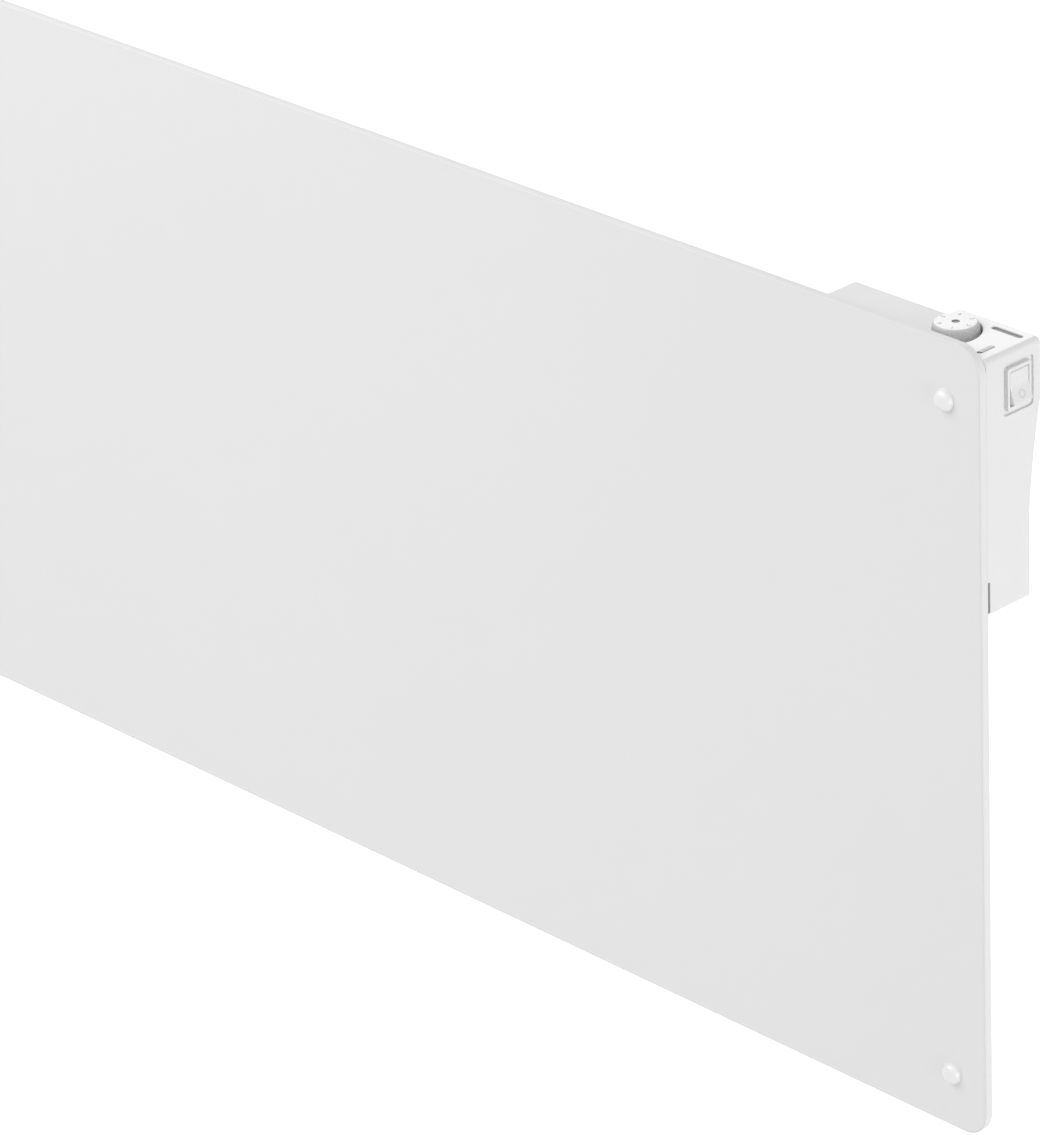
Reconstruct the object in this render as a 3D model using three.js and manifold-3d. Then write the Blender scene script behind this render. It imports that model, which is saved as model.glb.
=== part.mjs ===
// A wall-mounted infrared panel heater: a white glass front on a louvred steel tray, a moulded control
// housing behind its upper right corner, and the wall bracket that it hangs on.
// Lengths are in millimetres, +Z is up, the front faces -Y and the wall is the plane y = 0.
// The origin is the middle of the bracket's upper rail, on the wall.
import * as THREE from "three";
import { mergeVertices } from "three/addons/utils/BufferGeometryUtils.js";
import Module from "manifold-3d";

const wasm = await Module();
wasm.setup();

// ---------------------------------------------------------------- driving dimensions

const restGap = 0.3; // between pieces that rest on each other
const boreGap = 0.3; // round a shank, shaft or stem in its hole
const overrun = 1; // how far a cutting tool runs past the face that it opens

// Front glass
const panelWidth = 1000;
const panelHeight = 370;
const glassThickness = 4;
const glassCornerRadius = 12.5;
const glassEdgeBevel = 0.6;

// Dome-headed screws at the glass corners, with their spacers and nuts
const cornerScrewInsetX = 19.2;
const cornerScrewInsetZ = 26.4;
const cornerScrewRadius = 2.5;
const cornerScrewTail = 2;
const domeRadius = 4.9;
const domeHeight = 3.4;
const domeRim = 0.7;
const domeSteps = 3;
const spacerRadius = 6.5;
const spacerLength = 3;
const cornerNutAcross = 8;
const cornerNutThickness = 4;

// Rear tray: a flat flange behind the glass with a deep pan pressed into it
const traySheet = 1;
const flangeInset = 12;
const flangeCornerRadius = 8;
const panDepth = 25;
const panLeftMargin = 28;
const panToHousing = 11;
const panTopMargin = 28;
const panBottomMargin = 28;
const panCornerRadius = 18;
const panEdgeRadius = 5;

// Louvres in two bands across the back of the pan
const louvreWidth = 46;
const louvreHeight = 8;
const louvreRise = 3.6;
const louvrePitch = 74;
const louvreColumns = 10;
const louvreRowsPerBand = 2;
const louvreRowPitch = 16;
const louvreBandInset = 72;
const louvreSteps = 3;

// Dimples pressed into the pan, which hold the insulation against the element
const dimpleCount = 6;
const dimplePitch = 145;
const dimpleMouthRadius = 12;
const dimpleTipRadius = 7;

// Heating stack between the glass and the pan
const spreaderThickness = 0.8;
const spreaderMargin = 12;
const elementThickness = 0.8;
const elementTrackWidth = 7;
const elementPasses = 12;
const elementMargin = 26;
const insulationThickness = 14.5;
const insulationMargin = 4;
const insulationCornerRadius = 12;

// Overheat cut-out, in a notch of the insulation, and the leads that run from it
const cutoutRadius = 8;
const cutoutHeight = 6.5;
const cutoutInset = 42;
const cutoutBelowTop = 100;
const cutoutTabLength = 7;
const cutoutTabWidth = 2.4;
const cutoutTabThickness = 0.8;
const notchLength = 62;
const notchHeight = 30;
const leadRadius = 1.1;
const leadSpacing = 5;
const leadDepth = 12;
const leadStraight = 6;
const leadClearOfWall = 8;
const grommetBoreRadius = 4.6;
const grommetWall = 0.9;
const grommetLip = 1.8;
const grommetLipThickness = 1.6;

// Control housing, flush with the glass's right-hand edge
const housingWidth = 104;
const housingHeight = 111.6;
const housingBelowGlassTop = 9;
const plateauRise = 4.2;
const plateauLength = 45;
const housingDepthTop = 34;
const housingDepthBottom = 27;
const swellBelowTop = 23;
const swellHeight = 54;
const swellLowHandle = [0.6, 0.39];
const swellHighHandle = [1.3, 0.13];
const housingWall = 2.5;
const housingFront = 0.4;
const housingEdgeRadius = 2.5;
const housingBackRadius = 3.4;
const pryNotchHeight = 14;
const pryNotchDepth = 1.3;
const pryNotchAbove = 1.8;
const bossRadius = 3.9;
const housingScrewRadius = 1.6;
const housingScrewHeadRadius = 3.4;
const housingScrewHeadHeight = 2;
const housingScrewLength = 13;
const bossInset = 8.6;
const screwCrownShare = 0.75;

// Setting knob on its thermostat
const knobInset = 31.5;
const knobDepth = 16.4;
const knobBaseRadius = 10.3;
const knobTopRadius = 9.3;
const knobHeight = 6.3;
const knobFloorGap = 1;
const knobEdgeRadius = 0.8;
const knobWellRadius = 17.3;
const knobWellLeftOfKnob = 2.5;
const knobWellInFrontOfKnob = 5.9;
const knobWellSides = 36;
const knobDotRadius = 1.7;
const knobDotDepth = 0.5;
const knobRecessRadius = 7.2;
const knobRecessDepth = 2.6;
const knobCrown = 1;
const knobSides = 24;
const shaftRadius = 2;
const bushingRadius = 3.5;
const bushingHeight = 2.4;
const thermostatNutAcross = 10;
const thermostatNutThickness = 1.8;
const thermostatSize = 16;
const thermostatHeight = 8;

// Rocker switch in the housing's side
const switchDepth = 19.3;
const switchBelowPlateau = 17.4;
const bezelWidth = 16.2;
const bezelHeight = 20.6;
const bezelThickness = 1.6;
const bezelBevel = 0.5;
const bezelCornerRadius = 1.2;
const switchBodyWidth = 13;
const switchBodyHeight = 18;
const switchBodyLength = 14;
const rockerWindowWidth = 11.6;
const rockerWindowHeight = 16;
const rockerWell = 8;
const rockerWidth = 10.8;
const rockerHalfHeight = 7.2;
const rockerFace = 2;
const rockerTilt = 10;
const rockerTipRadius = 0.5;
const rockerHeelHalfHeight = 6.8;
const rockerBellyDepth = 4.6;
const rockerBellyHalfHeight = 2.5;
const rockerAxisBehindFace = 1.2;
const terminalWidth = 4.8;
const terminalThickness = 0.8;
const terminalLength = 6.5;
const terminalSpacing = 9;

// Slot, air sensor, pilot lens and lamp in the plateau
const airSlotLength = 16.4;
const airSlotWidth = 3.6;
const airSlotDepth = 27;
const airSlotInset = 4.6;
const sensorRadius = 1.8;
const sensorLength = 9;
const sensorBelowTop = 3.1;
const sensorRibThickness = 1;
const lensInset = 6.8;
const lensDepth = 8;
const lensLength = 9;
const lensWidth = 2;
const lensProud = 0.3;
const lensFlange = 1.2;
const lampRadius = 1.5;
const lampHeight = 5;
const lampBaseRadius = 1.8;
const lampBaseHeight = 1;
const lampTipRadius = 1.05;
const lampTipHeight = 0.45;

// Circuit board and what it carries
const boardWidth = 68;
const boardHeight = 60;
const boardThickness = 1.6;
const boardInset = 20;
const boardBottomGap = 10;
const boardDepth = 17;
const postRadius = 3;
const postInset = 4.5;
const boardScrewRadius = 1.25;
const boardScrewHeadRadius = 2.4;
const boardScrewHeadHeight = 1.6;
const boardScrewLength = 6;
const relayWidth = 19;
const relayHeight = 15.5;
const relayDepth = 11;
const relayInset = 6;
const relayCornerRadius = 0.8;
const terminalBlockWidth = 14;
const terminalBlockHeight = 16;
const terminalBlockDepth = 10.5;
const wireHoleRadius = 1.6;
const wireHoleDepth = 8.4;

// Cable gland in the housing's bottom
const glandInset = 70;
const glandDepth = 13.5;
const glandBoreRadius = 3.8;
const glandStemRadius = 6;
const glandAcross = 15;
const glandHexHeight = 4;
const glandCapHeight = 9;
const glandCapRadius = 7;
const glandMouthRadius = 5.4;
const glandStemAbove = 4.6;
const glandNutThickness = 3.6;

// Wall bracket
const wallToTray = 33;
const bracketSheet = 1.5;
const bendRadius = 1;
const bendSteps = 3;
const railLength = 560;
const railHeight = 40;
const railShelf = 14;
const railsLessThanPanel = 160;
const uprightInset = 40;
const uprightWidth = 32;
const rivetRadius = 2.5;
const rivetHeadRadius = 4.5;
const rivetHeadHeight = 1.8;
const wallSlotOffset = 120;
const wallSlotLength = 14;
const wallSlotWidth = 6.4;

// Hooks on the bracket and hangers on the tray
const hookInset = 80;
const hookWidth = 30;
const hookRise = 12;
const hookPlay = 1;
const hangerWidth = 44;
const hangerReach = 9;
const hangerFootHeight = 18;
const hangerLipDrop = 11.5;
const hangerBelowGlassTop = 58;

// Turning locks on the bracket and catches on the tray
const lockOffset = 150;
const lockBelowRail = 4;
const lockHubRadius = 8;
const lockArmWidth = 10;
const lockTongueLength = 36;
const lockHandleLength = 34;
const lockTongueRadius = 2;
const lockHandleRadius = 3;
const lockThickness = 2.5;
const lockPivotTail = 1;
const lockEarWidth = 26;
const lockEarTop = 9;
const catchReach = 12.8;
const catchPlay = 0.6;
const catchHeight = 24;
const catchOverlap = 14;
const catchTipGap = 4;
const catchFoot = 20;

// Faces on round pieces
const roundSides = 16;
const smallRoundSides = 12;
const arcSteps = 5;
const edgeSteps = 3;
const swellSteps = 8;
const smallArcSteps = 2;
const wireSides = 6;

// ---------------------------------------------------------------- places that follow from them

// In the heater's own frame x = 0 is the glass's middle, y = 0 its rear face and z = 0 its bottom edge.
const flangeFront = spacerLength;
const flangeRear = flangeFront + traySheet;
const panLeft = -panelWidth / 2 + panLeftMargin;
const panRight = panelWidth / 2 - housingWidth - panToHousing;
const panBottom = panBottomMargin;
const panTop = panelHeight - panTopMargin;
const spreaderFront = restGap;
const spreaderRear = spreaderFront + spreaderThickness;
const elementFront = spreaderRear + restGap;
const elementRear = elementFront + elementThickness;
const insulationFront = elementRear + restGap;
const insulationRear = insulationFront + insulationThickness;
const cutoutX = panRight - cutoutInset;
const cutoutZ = panelHeight - cutoutBelowTop;
const cornerScrewEnd = flangeRear + cornerNutThickness + cornerScrewTail;
const hangerHeight = panelHeight - hangerBelowGlassTop;

// In the bracket's frame, which is the part's own.
const heaterY = -(wallToTray + panDepth);
const hangerWebZ = railHeight / 2 + hookRise + restGap;
const heaterZ = hangerWebZ - hangerHeight;
const lowerRailZ = railsLessThanPanel - panelHeight;
const uprightOffset = railLength / 2 - uprightInset;
const hookOffset = railLength / 2 - hookInset;
const lockHeight = lowerRailZ - lockBelowRail;
const hookRearY = -wallToTray + hangerReach - bracketSheet - hookPlay;
const lockRearY = -wallToTray + catchReach - bracketSheet - catchPlay;
const lockFrontY = lockRearY - lockThickness;
const lockEarFrontY = lockRearY + restGap;
const catchLipInner = lockOffset + lockTongueLength - catchOverlap;
const catchWebX = lockOffset + lockTongueLength + catchTipGap;

// In the control unit's frame x = 0 is the glass's right-hand edge; y and z are the heater's.
const housingTop = panelHeight - housingBelowGlassTop;
const housingBottom = housingTop - housingHeight;
const plateauTop = housingTop + plateauRise;
const swellEnd = housingTop - swellBelowTop;
const swellStart = swellEnd - swellHeight;
const switchHeight = plateauTop - switchBelowPlateau;
const knobX = -knobInset;
const knobWellX = knobX - knobWellLeftOfKnob;
const knobWellDepth = knobDepth - knobWellInFrontOfKnob;
const knobBaseZ = housingTop + knobFloorGap;
const rockerAxisX = -rockerAxisBehindFace;
const boardRight = -boardInset;
const boardLeft = boardRight - boardWidth;
const boardBottom = housingBottom + housingWall + boardBottomGap;
const boardTop = boardBottom + boardHeight;
const boardRear = boardDepth + boardThickness;
const terminalBlockLeft = boardLeft + restGap;
const sensorZ = plateauTop - housingWall - sensorBelowTop;
const sensorX = -airSlotInset - airSlotLength / 2;

// ---------------------------------------------------------------- solids and booleans

function toSolid(geometry) {
  const bare = geometry.index ? geometry.toNonIndexed() : geometry.clone();
  Object.keys(bare.attributes).forEach((key) => {
    if (key !== "position") bare.deleteAttribute(key);
  });
  const merged = mergeVertices(bare, 1e-4);
  return new wasm.Manifold(
    new wasm.Mesh({
      numProp: 3,
      vertProperties: merged.attributes.position.array,
      triVerts: new Uint32Array(merged.index.array),
    }),
  );
}

function toGeometry(solid) {
  const mesh = solid.getMesh();
  const shared = new THREE.BufferGeometry();
  shared.setAttribute("position", new THREE.BufferAttribute(new Float32Array(mesh.vertProperties), 3));
  shared.setIndex(new THREE.BufferAttribute(new Uint32Array(mesh.triVerts), 1));
  const faceted = shared.toNonIndexed();
  faceted.computeVertexNormals();
  return faceted;
}

function combine(operation, first, others) {
  return toGeometry(others.reduce((sum, next) => sum[operation](toSolid(next)), toSolid(first)));
}

const join = (first, ...others) => combine("add", first, others);
const cut = (body, ...tools) => combine("subtract", body, tools);
const overlap = (first, ...others) => combine("intersect", first, others);

// ---------------------------------------------------------------- basic forms

function block([x0, x1], [y0, y1], [z0, z1]) {
  const box = new THREE.BoxGeometry(x1 - x0, y1 - y0, z1 - z0);
  return box.translate((x0 + x1) / 2, (y0 + y1) / 2, (z0 + z1) / 2);
}

function rodX(radius, [x0, x1], y, z, sides = smallRoundSides) {
  const rod = new THREE.CylinderGeometry(radius, radius, x1 - x0, sides);
  return rod.rotateZ(-Math.PI / 2).translate((x0 + x1) / 2, y, z);
}

function rodY(radius, [y0, y1], x, z, sides = smallRoundSides) {
  return new THREE.CylinderGeometry(radius, radius, y1 - y0, sides).translate(x, (y0 + y1) / 2, z);
}

function rodZ(radius, [z0, z1], x, y, sides = smallRoundSides) {
  const rod = new THREE.CylinderGeometry(radius, radius, z1 - z0, sides);
  return rod.rotateX(Math.PI / 2).translate(x, y, (z0 + z1) / 2);
}

const hexRadius = (across) => across / Math.sqrt(3);

// A closed outline through corners [x, y, radius], rounded with an arc where the corner has a radius.
function outline(corners, steps = arcSteps) {
  const points = [];
  corners.forEach(([x, y, radius], i) => {
    const corner = new THREE.Vector2(x, y);
    if (!radius) {
      points.push(corner);
      return;
    }
    const [px, py] = corners.at(i - 1);
    const [nx, ny] = corners[(i + 1) % corners.length];
    const back = new THREE.Vector2(px, py).sub(corner).normalize();
    const onward = new THREE.Vector2(nx, ny).sub(corner).normalize();
    const half = Math.acos(back.dot(onward)) / 2;
    const middle = back.clone().add(onward).normalize();
    const centre = corner.clone().addScaledVector(middle, radius / Math.sin(half));
    const from = corner.clone().addScaledVector(back, radius / Math.tan(half)).sub(centre);
    const turn = (Math.PI - 2 * half) * Math.sign(back.cross(onward)) * -1;
    for (let step = 0; step <= steps; step += 1) {
      const spoke = from.clone().rotateAround(new THREE.Vector2(), (turn * step) / steps);
      points.push(spoke.add(centre));
    }
  });
  return points;
}

function rectangle([x0, x1], [y0, y1], radius, steps = arcSteps) {
  return outline([[x0, y0, radius], [x1, y0, radius], [x1, y1, radius], [x0, y1, radius]], steps);
}

// An outline in x and z made into a plate between two depths.
function plate(points, [y0, y1], bevel = 0, bevelSteps = 1) {
  const geometry = new THREE.ExtrudeGeometry(new THREE.Shape(points), {
    depth: y1 - y0 - 2 * bevel,
    bevelEnabled: bevel > 0,
    bevelThickness: bevel,
    bevelSize: bevel,
    bevelOffset: -bevel,
    bevelSegments: bevelSteps,
  });
  return geometry.rotateX(Math.PI / 2).translate(0, y1 - bevel, 0);
}

// An outline in y and z run along x.
function runX(points, [x0, x1], bevel = 0, bevelSteps = 1) {
  const geometry = new THREE.ExtrudeGeometry(new THREE.Shape(points), {
    depth: x1 - x0 - 2 * bevel,
    bevelEnabled: bevel > 0,
    bevelThickness: bevel,
    bevelSize: bevel,
    bevelOffset: -bevel,
    bevelSegments: bevelSteps,
  });
  const turned = new THREE.Matrix4().makeBasis(
    new THREE.Vector3(0, 1, 0),
    new THREE.Vector3(0, 0, 1),
    new THREE.Vector3(1, 0, 0),
  );
  return geometry.applyMatrix4(turned).translate(x0 + bevel, 0, 0);
}

// An outline in x and y run up z.
function runZ(points, [z0, z1]) {
  const shape = new THREE.Shape(points);
  const depth = z1 - z0;
  return new THREE.ExtrudeGeometry(shape, { depth, bevelEnabled: false }).translate(0, 0, z0);
}

// The section of a bent sheet: its left-hand face follows the path and its thickness lies to the right.
// The inner face of each bend has the bend radius, whichever way the sheet turns.
function bentSheet(path, thickness) {
  const corners = path.map(([x, y]) => new THREE.Vector2(x, y));
  const points = corners.flatMap((corner, i) => {
    if (i === 0 || i === corners.length - 1) return [corner];
    const back = corners[i - 1].clone().sub(corner).normalize();
    const onward = corners[i + 1].clone().sub(corner).normalize();
    const turnsLeft = back.cross(onward) < 0;
    const radius = turnsLeft ? bendRadius : bendRadius + thickness;
    const half = Math.acos(back.dot(onward)) / 2;
    const middle = back.clone().add(onward).normalize();
    const centre = corner.clone().addScaledVector(middle, radius / Math.sin(half));
    const spoke = corner.clone().addScaledVector(back, radius / Math.tan(half)).sub(centre);
    const turn = (Math.PI - 2 * half) * (turnsLeft ? 1 : -1);
    return Array.from({ length: bendSteps + 1 }, (_, step) =>
      spoke.clone().rotateAround(new THREE.Vector2(), (turn * step) / bendSteps).add(centre),
    );
  });
  const offset = points.map((point, i) => {
    const before = i > 0 ? point.clone().sub(points[i - 1]).normalize() : null;
    const after = i < points.length - 1 ? points[i + 1].clone().sub(point).normalize() : null;
    const first = before ?? after;
    const last = after ?? before;
    const normal = new THREE.Vector2(first.y + last.y, -first.x - last.x).normalize();
    const reach = thickness / normal.dot(new THREE.Vector2(first.y, -first.x));
    return point.clone().addScaledVector(normal, reach);
  });
  return [...points, ...offset.reverse()];
}

// A body of revolution about z from a profile of [radius, z] that runs counter-clockwise.
function turned(profile, sides = roundSides) {
  const points = profile.map(([radius, z]) => new THREE.Vector2(radius, z));
  return new THREE.LatheGeometry([...points, points[0].clone()], sides).rotateX(Math.PI / 2);
}

function place(name, geometry, material, [x, y, z] = [0, 0, 0]) {
  const mesh = new THREE.Mesh(geometry, material);
  mesh.name = name;
  mesh.position.set(x, y, z);
  return mesh;
}

function groupAt([x, y, z], ...children) {
  const group = new THREE.Group();
  group.position.set(x, y, z);
  group.add(...children.flat());
  return group;
}

// ---------------------------------------------------------------- materials

const finish = (color, roughness, metalness = 0) =>
  new THREE.MeshStandardMaterial({ color, roughness, metalness });

const whiteGlass = finish("#e9e9e9", 0.12);
const satinSteel = finish("#dcdcdc", 0.3, 0.8);
const whiteShell = finish("#e9e9e9", 0.35);
const whiteKnob = finish("#f6f6f6", 0.3);
const greySwitch = finish("#dedede", 0.35);
const lensPlastic = finish("#8a8a8a", 0.2);
const whitePaint = finish("#dcdcda", 0.5, 0.1);
const zincPlate = finish("#b9bcbf", 0.4, 0.9);
const bareAluminium = finish("#c6c9cc", 0.4, 0.9);
const elementFoil = finish("#8d7a58", 0.5, 0.6);
const mineralWool = finish("#c9bd93", 0.95);
const siliconeRubber = finish("#d8d8d8", 0.8);
const blackPlastic = finish("#26282a", 0.5);
const boardGreen = finish("#2f6b45", 0.5);
const brass = finish("#c2a35a", 0.35, 0.9);

// ---------------------------------------------------------------- glass and its corner screws

const cornerPlaces = [
  ["bottom_left", -1, 0],
  ["bottom_right", 1, 0],
  ["top_left", -1, 1],
  ["top_right", 1, 1],
].map(([name, side, up]) => ({
  name,
  x: side * (panelWidth / 2 - cornerScrewInsetX),
  z: up ? panelHeight - cornerScrewInsetZ : cornerScrewInsetZ,
}));

const cornerHoles = ([y0, y1]) =>
  cornerPlaces.map(({ x, z }) => rodY(cornerScrewRadius + boreGap, [y0, y1], x, z));

function frontGlass() {
  const edge = rectangle([-panelWidth / 2, panelWidth / 2], [0, panelHeight], glassCornerRadius);
  const holes = cornerHoles([-glassThickness - overrun, overrun]);
  return cut(plate(edge, [-glassThickness, 0], glassEdgeBevel), ...holes);
}

// The head is a low dome on the glass; the shank points to +Z before the screw is turned to lie along +Y.
function cornerScrew() {
  const head = glassThickness;
  const dome = Array.from({ length: domeSteps + 1 }, (_, step) => {
    const angle = (step / domeSteps) * (Math.PI / 2);
    return [domeRadius * Math.sin(angle), -head - domeRim - (domeHeight - domeRim) * Math.cos(angle)];
  });
  const shank = [
    [domeRadius, -head],
    [cornerScrewRadius, -head],
    [cornerScrewRadius, cornerScrewEnd],
    [0, cornerScrewEnd],
  ];
  return turned([...dome, ...shank]).rotateX(-Math.PI / 2);
}

function glassSpacer() {
  const bore = rodY(cornerScrewRadius + boreGap, [-overrun, spacerLength + overrun], 0, 0);
  return cut(rodY(spacerRadius, [0, spacerLength], 0, 0), bore);
}

function hexNut(across, thickness, boreRadius) {
  const hex = rodZ(hexRadius(across), [0, thickness], 0, 0, 6);
  return cut(hex, rodZ(boreRadius, [-overrun, thickness + overrun], 0, 0));
}

function cornerNut() {
  const nut = hexNut(cornerNutAcross, cornerNutThickness, cornerScrewRadius + boreGap);
  return nut.rotateX(-Math.PI / 2).translate(0, flangeRear, 0);
}

function cornerFixings() {
  const screw = cornerScrew();
  const spacer = glassSpacer();
  const nut = cornerNut();
  return cornerPlaces.flatMap(({ name, x, z }) => [
    place("corner_screw_" + name, screw, satinSteel, [x, 0, z]),
    place("glass_spacer_" + name, spacer, siliconeRubber, [x, 0, z]),
    place("corner_nut_" + name, nut, zincPlate, [x, 0, z]),
  ]);
}

// ---------------------------------------------------------------- rear tray

const panOutline = (inset) =>
  rectangle(
    [panLeft + inset, panRight - inset],
    [panBottom + inset, panTop - inset],
    panCornerRadius - inset,
  );

const louvrePlaces = () => {
  const places = [];
  const middle = (panLeft + panRight) / 2;
  for (let row = 0; row < louvreRowsPerBand; row += 1) {
    for (let column = 0; column < louvreColumns; column += 1) {
      const x = middle + (column - (louvreColumns - 1) / 2) * louvrePitch;
      const inset = louvreBandInset + row * louvreRowPitch;
      places.push([x, panBottom + inset], [x, panTop - inset]);
    }
  }
  return places;
};

// A louvre's side view, from the sheet at the top out to its lip at the bottom, less an inset.
function louvreProfile(inset, bottom) {
  const top = louvreHeight / 2 - inset;
  const rise = louvreRise - inset;
  const lip = -louvreHeight / 2;
  const curve = Array.from({ length: louvreSteps + 1 }, (_, step) => {
    const angle = (step / louvreSteps) * (Math.PI / 2);
    return new THREE.Vector2(panDepth + rise * Math.sin(angle), lip + (top - lip) * Math.cos(angle));
  });
  const sheetFront = panDepth - traySheet - inset / 2;
  return [
    new THREE.Vector2(sheetFront, bottom),
    ...curve.reverse().map((p, i) => (i === 0 ? new THREE.Vector2(p.x, bottom) : p)),
    new THREE.Vector2(sheetFront, top),
  ];
}

function louvreHood(x, z) {
  const half = louvreWidth / 2;
  return runX(louvreProfile(0, -louvreHeight / 2), [x - half, x + half]).translate(0, 0, z);
}

function louvreMouth(x, z) {
  const half = louvreWidth / 2 - traySheet;
  return runX(louvreProfile(traySheet, -louvreHeight / 2 - restGap), [x - half, x + half]).translate(0, 0, z);
}

const dimplePlaces = () => {
  const middle = (panLeft + panRight) / 2;
  const z = (panBottom + panTop) / 2;
  const first = middle - ((dimpleCount - 1) / 2) * dimplePitch;
  return Array.from({ length: dimpleCount }, (_, i) => [first + i * dimplePitch, z]);
};

// A pressed dimple's cone; shrunk by the sheet's thickness it is the dish seen from behind.
function dimpleCone(x, z, shrink, rearEnd) {
  const tip = insulationRear + restGap + shrink;
  const slope = (dimpleMouthRadius - dimpleTipRadius) / (panDepth - insulationRear);
  const mouth = dimpleTipRadius + (rearEnd - tip) * slope - shrink;
  const cone = new THREE.CylinderGeometry(mouth, dimpleTipRadius - shrink, rearEnd - tip, smallRoundSides);
  return cone.translate(x, (tip + rearEnd) / 2, z);
}

function rearTray() {
  const flange = plate(
    rectangle(
      [-panelWidth / 2 + flangeInset, panelWidth / 2 - flangeInset],
      [flangeInset, panelHeight - flangeInset],
      flangeCornerRadius,
    ),
    [flangeFront, flangeRear],
  );
  const ahead = -2 * panEdgeRadius;
  const innerRadius = panEdgeRadius - traySheet;
  const panOuter = plate(panOutline(0), [ahead, panDepth], panEdgeRadius, edgeSteps);
  const panInner = plate(panOutline(traySheet), [ahead, panDepth - traySheet], innerRadius, edgeSteps);
  const inFront = block([-panelWidth, panelWidth], [-panDepth, flangeFront], [-panelHeight, 2 * panelHeight]);
  const shell = cut(join(flange, panOuter), panInner, inFront);
  const hoods = louvrePlaces().map(([x, z]) => louvreHood(x, z));
  const mouths = louvrePlaces().map(([x, z]) => louvreMouth(x, z));
  const cones = dimplePlaces().map(([x, z]) => dimpleCone(x, z, 0, panDepth - traySheet / 2));
  const dishes = dimplePlaces().map(([x, z]) => dimpleCone(x, z, traySheet, panDepth + overrun));
  const pressed = cut(join(shell, ...hoods, ...cones), ...mouths, ...dishes);
  const sideWall = [panRight - panEdgeRadius, panRight + overrun];
  const leadHole = rodX(grommetHoleRadius, sideWall, leadDepth, cutoutZ);
  const screwHoles = housingScrewPlaces().map(([x, z]) =>
    rodY(housingScrewRadius + boreGap, [0, panDepth], panelWidth / 2 + x, z),
  );
  return cut(pressed, leadHole, ...cornerHoles([0, panDepth]), ...screwHoles);
}

// ---------------------------------------------------------------- heating stack

const insidePan = (margin, radius) =>
  rectangle([panLeft + margin, panRight - margin], [panBottom + margin, panTop - margin], radius);

const heatSpreader = () => plate(insidePan(spreaderMargin, spreaderMargin), [spreaderFront, spreaderRear]);

// One flat track that runs to and fro across the panel, with a half-round turn at the end of each pass.
function heatingElement() {
  const bottom = panBottom + elementMargin;
  const top = panTop - elementMargin;
  const pitch = (top - bottom) / (elementPasses - 1);
  const left = panLeft + elementMargin + pitch / 2;
  const right = panRight - elementMargin - pitch / 2;
  const side = (offset) => {
    const points = [];
    for (let pass = 0; pass < elementPasses; pass += 1) {
      const toRight = pass % 2 === 0;
      const z = bottom + pass * pitch;
      const lift = toRight ? offset : -offset;
      points.push(new THREE.Vector2(toRight ? left : right, z + lift));
      points.push(new THREE.Vector2(toRight ? right : left, z + lift));
      if (pass === elementPasses - 1) break;
      const middle = new THREE.Vector2(toRight ? right : left, z + pitch / 2);
      const radius = pitch / 2 - lift;
      for (let step = 1; step < arcSteps; step += 1) {
        const angle = -Math.PI / 2 + (Math.PI * step) / arcSteps;
        const reach = radius * Math.cos(angle) * (toRight ? 1 : -1);
        points.push(new THREE.Vector2(middle.x + reach, middle.y + radius * Math.sin(angle)));
      }
    }
    return points;
  };
  const track = [...side(-elementTrackWidth / 2), ...side(elementTrackWidth / 2).reverse()];
  return plate(track, [elementFront, elementRear]);
}

function insulationBoard() {
  const edge = insidePan(traySheet + insulationMargin, insulationCornerRadius);
  const notch = block(
    [panRight - notchLength, panRight],
    [0, panDepth],
    [cutoutZ - notchHeight / 2, cutoutZ + notchHeight / 2],
  );
  return cut(plate(edge, [insulationFront, insulationRear]), notch);
}

const leadHeights = [cutoutZ - leadSpacing / 2, cutoutZ + leadSpacing / 2];
const cutoutTabDepth = insulationFront + cutoutHeight / 2;
const cutoutTabEnd = cutoutX + cutoutRadius + cutoutTabLength;

function overheatCutout() {
  const depth = [insulationFront, insulationFront + cutoutHeight];
  const can = rodY(cutoutRadius, depth, cutoutX, cutoutZ, roundSides);
  const tabs = leadHeights.map((z) =>
    block(
      [cutoutX + cutoutRadius / 2, cutoutTabEnd],
      [cutoutTabDepth - cutoutTabThickness / 2, cutoutTabDepth + cutoutTabThickness / 2],
      [z - cutoutTabWidth / 2, z + cutoutTabWidth / 2],
    ),
  );
  return join(can, ...tabs);
}

// A lead from a tab of the cut-out, through the grommet, to the terminal block in the housing.
function heaterLead(z) {
  const wayEnd = panelWidth / 2 + terminalBlockLeft - restGap;
  const route = new THREE.CatmullRomCurve3([
    new THREE.Vector3(cutoutTabEnd + restGap, cutoutTabDepth, z),
    new THREE.Vector3(cutoutTabEnd + leadStraight, cutoutTabDepth, z),
    new THREE.Vector3(panRight - leadClearOfWall, leadDepth, z),
    new THREE.Vector3(panRight + leadClearOfWall, leadDepth, z),
    new THREE.Vector3(wayEnd, leadDepth, z),
  ]);
  const section = Array.from({ length: wireSides }, (_, i) => {
    const angle = (i / wireSides) * 2 * Math.PI;
    return new THREE.Vector2(leadRadius * Math.cos(angle), leadRadius * Math.sin(angle));
  });
  return new THREE.ExtrudeGeometry(new THREE.Shape(section), { steps: 14, extrudePath: route });
}

const grommetGrooveRadius = grommetBoreRadius + grommetWall;
const grommetHoleRadius = grommetGrooveRadius + boreGap;

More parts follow.
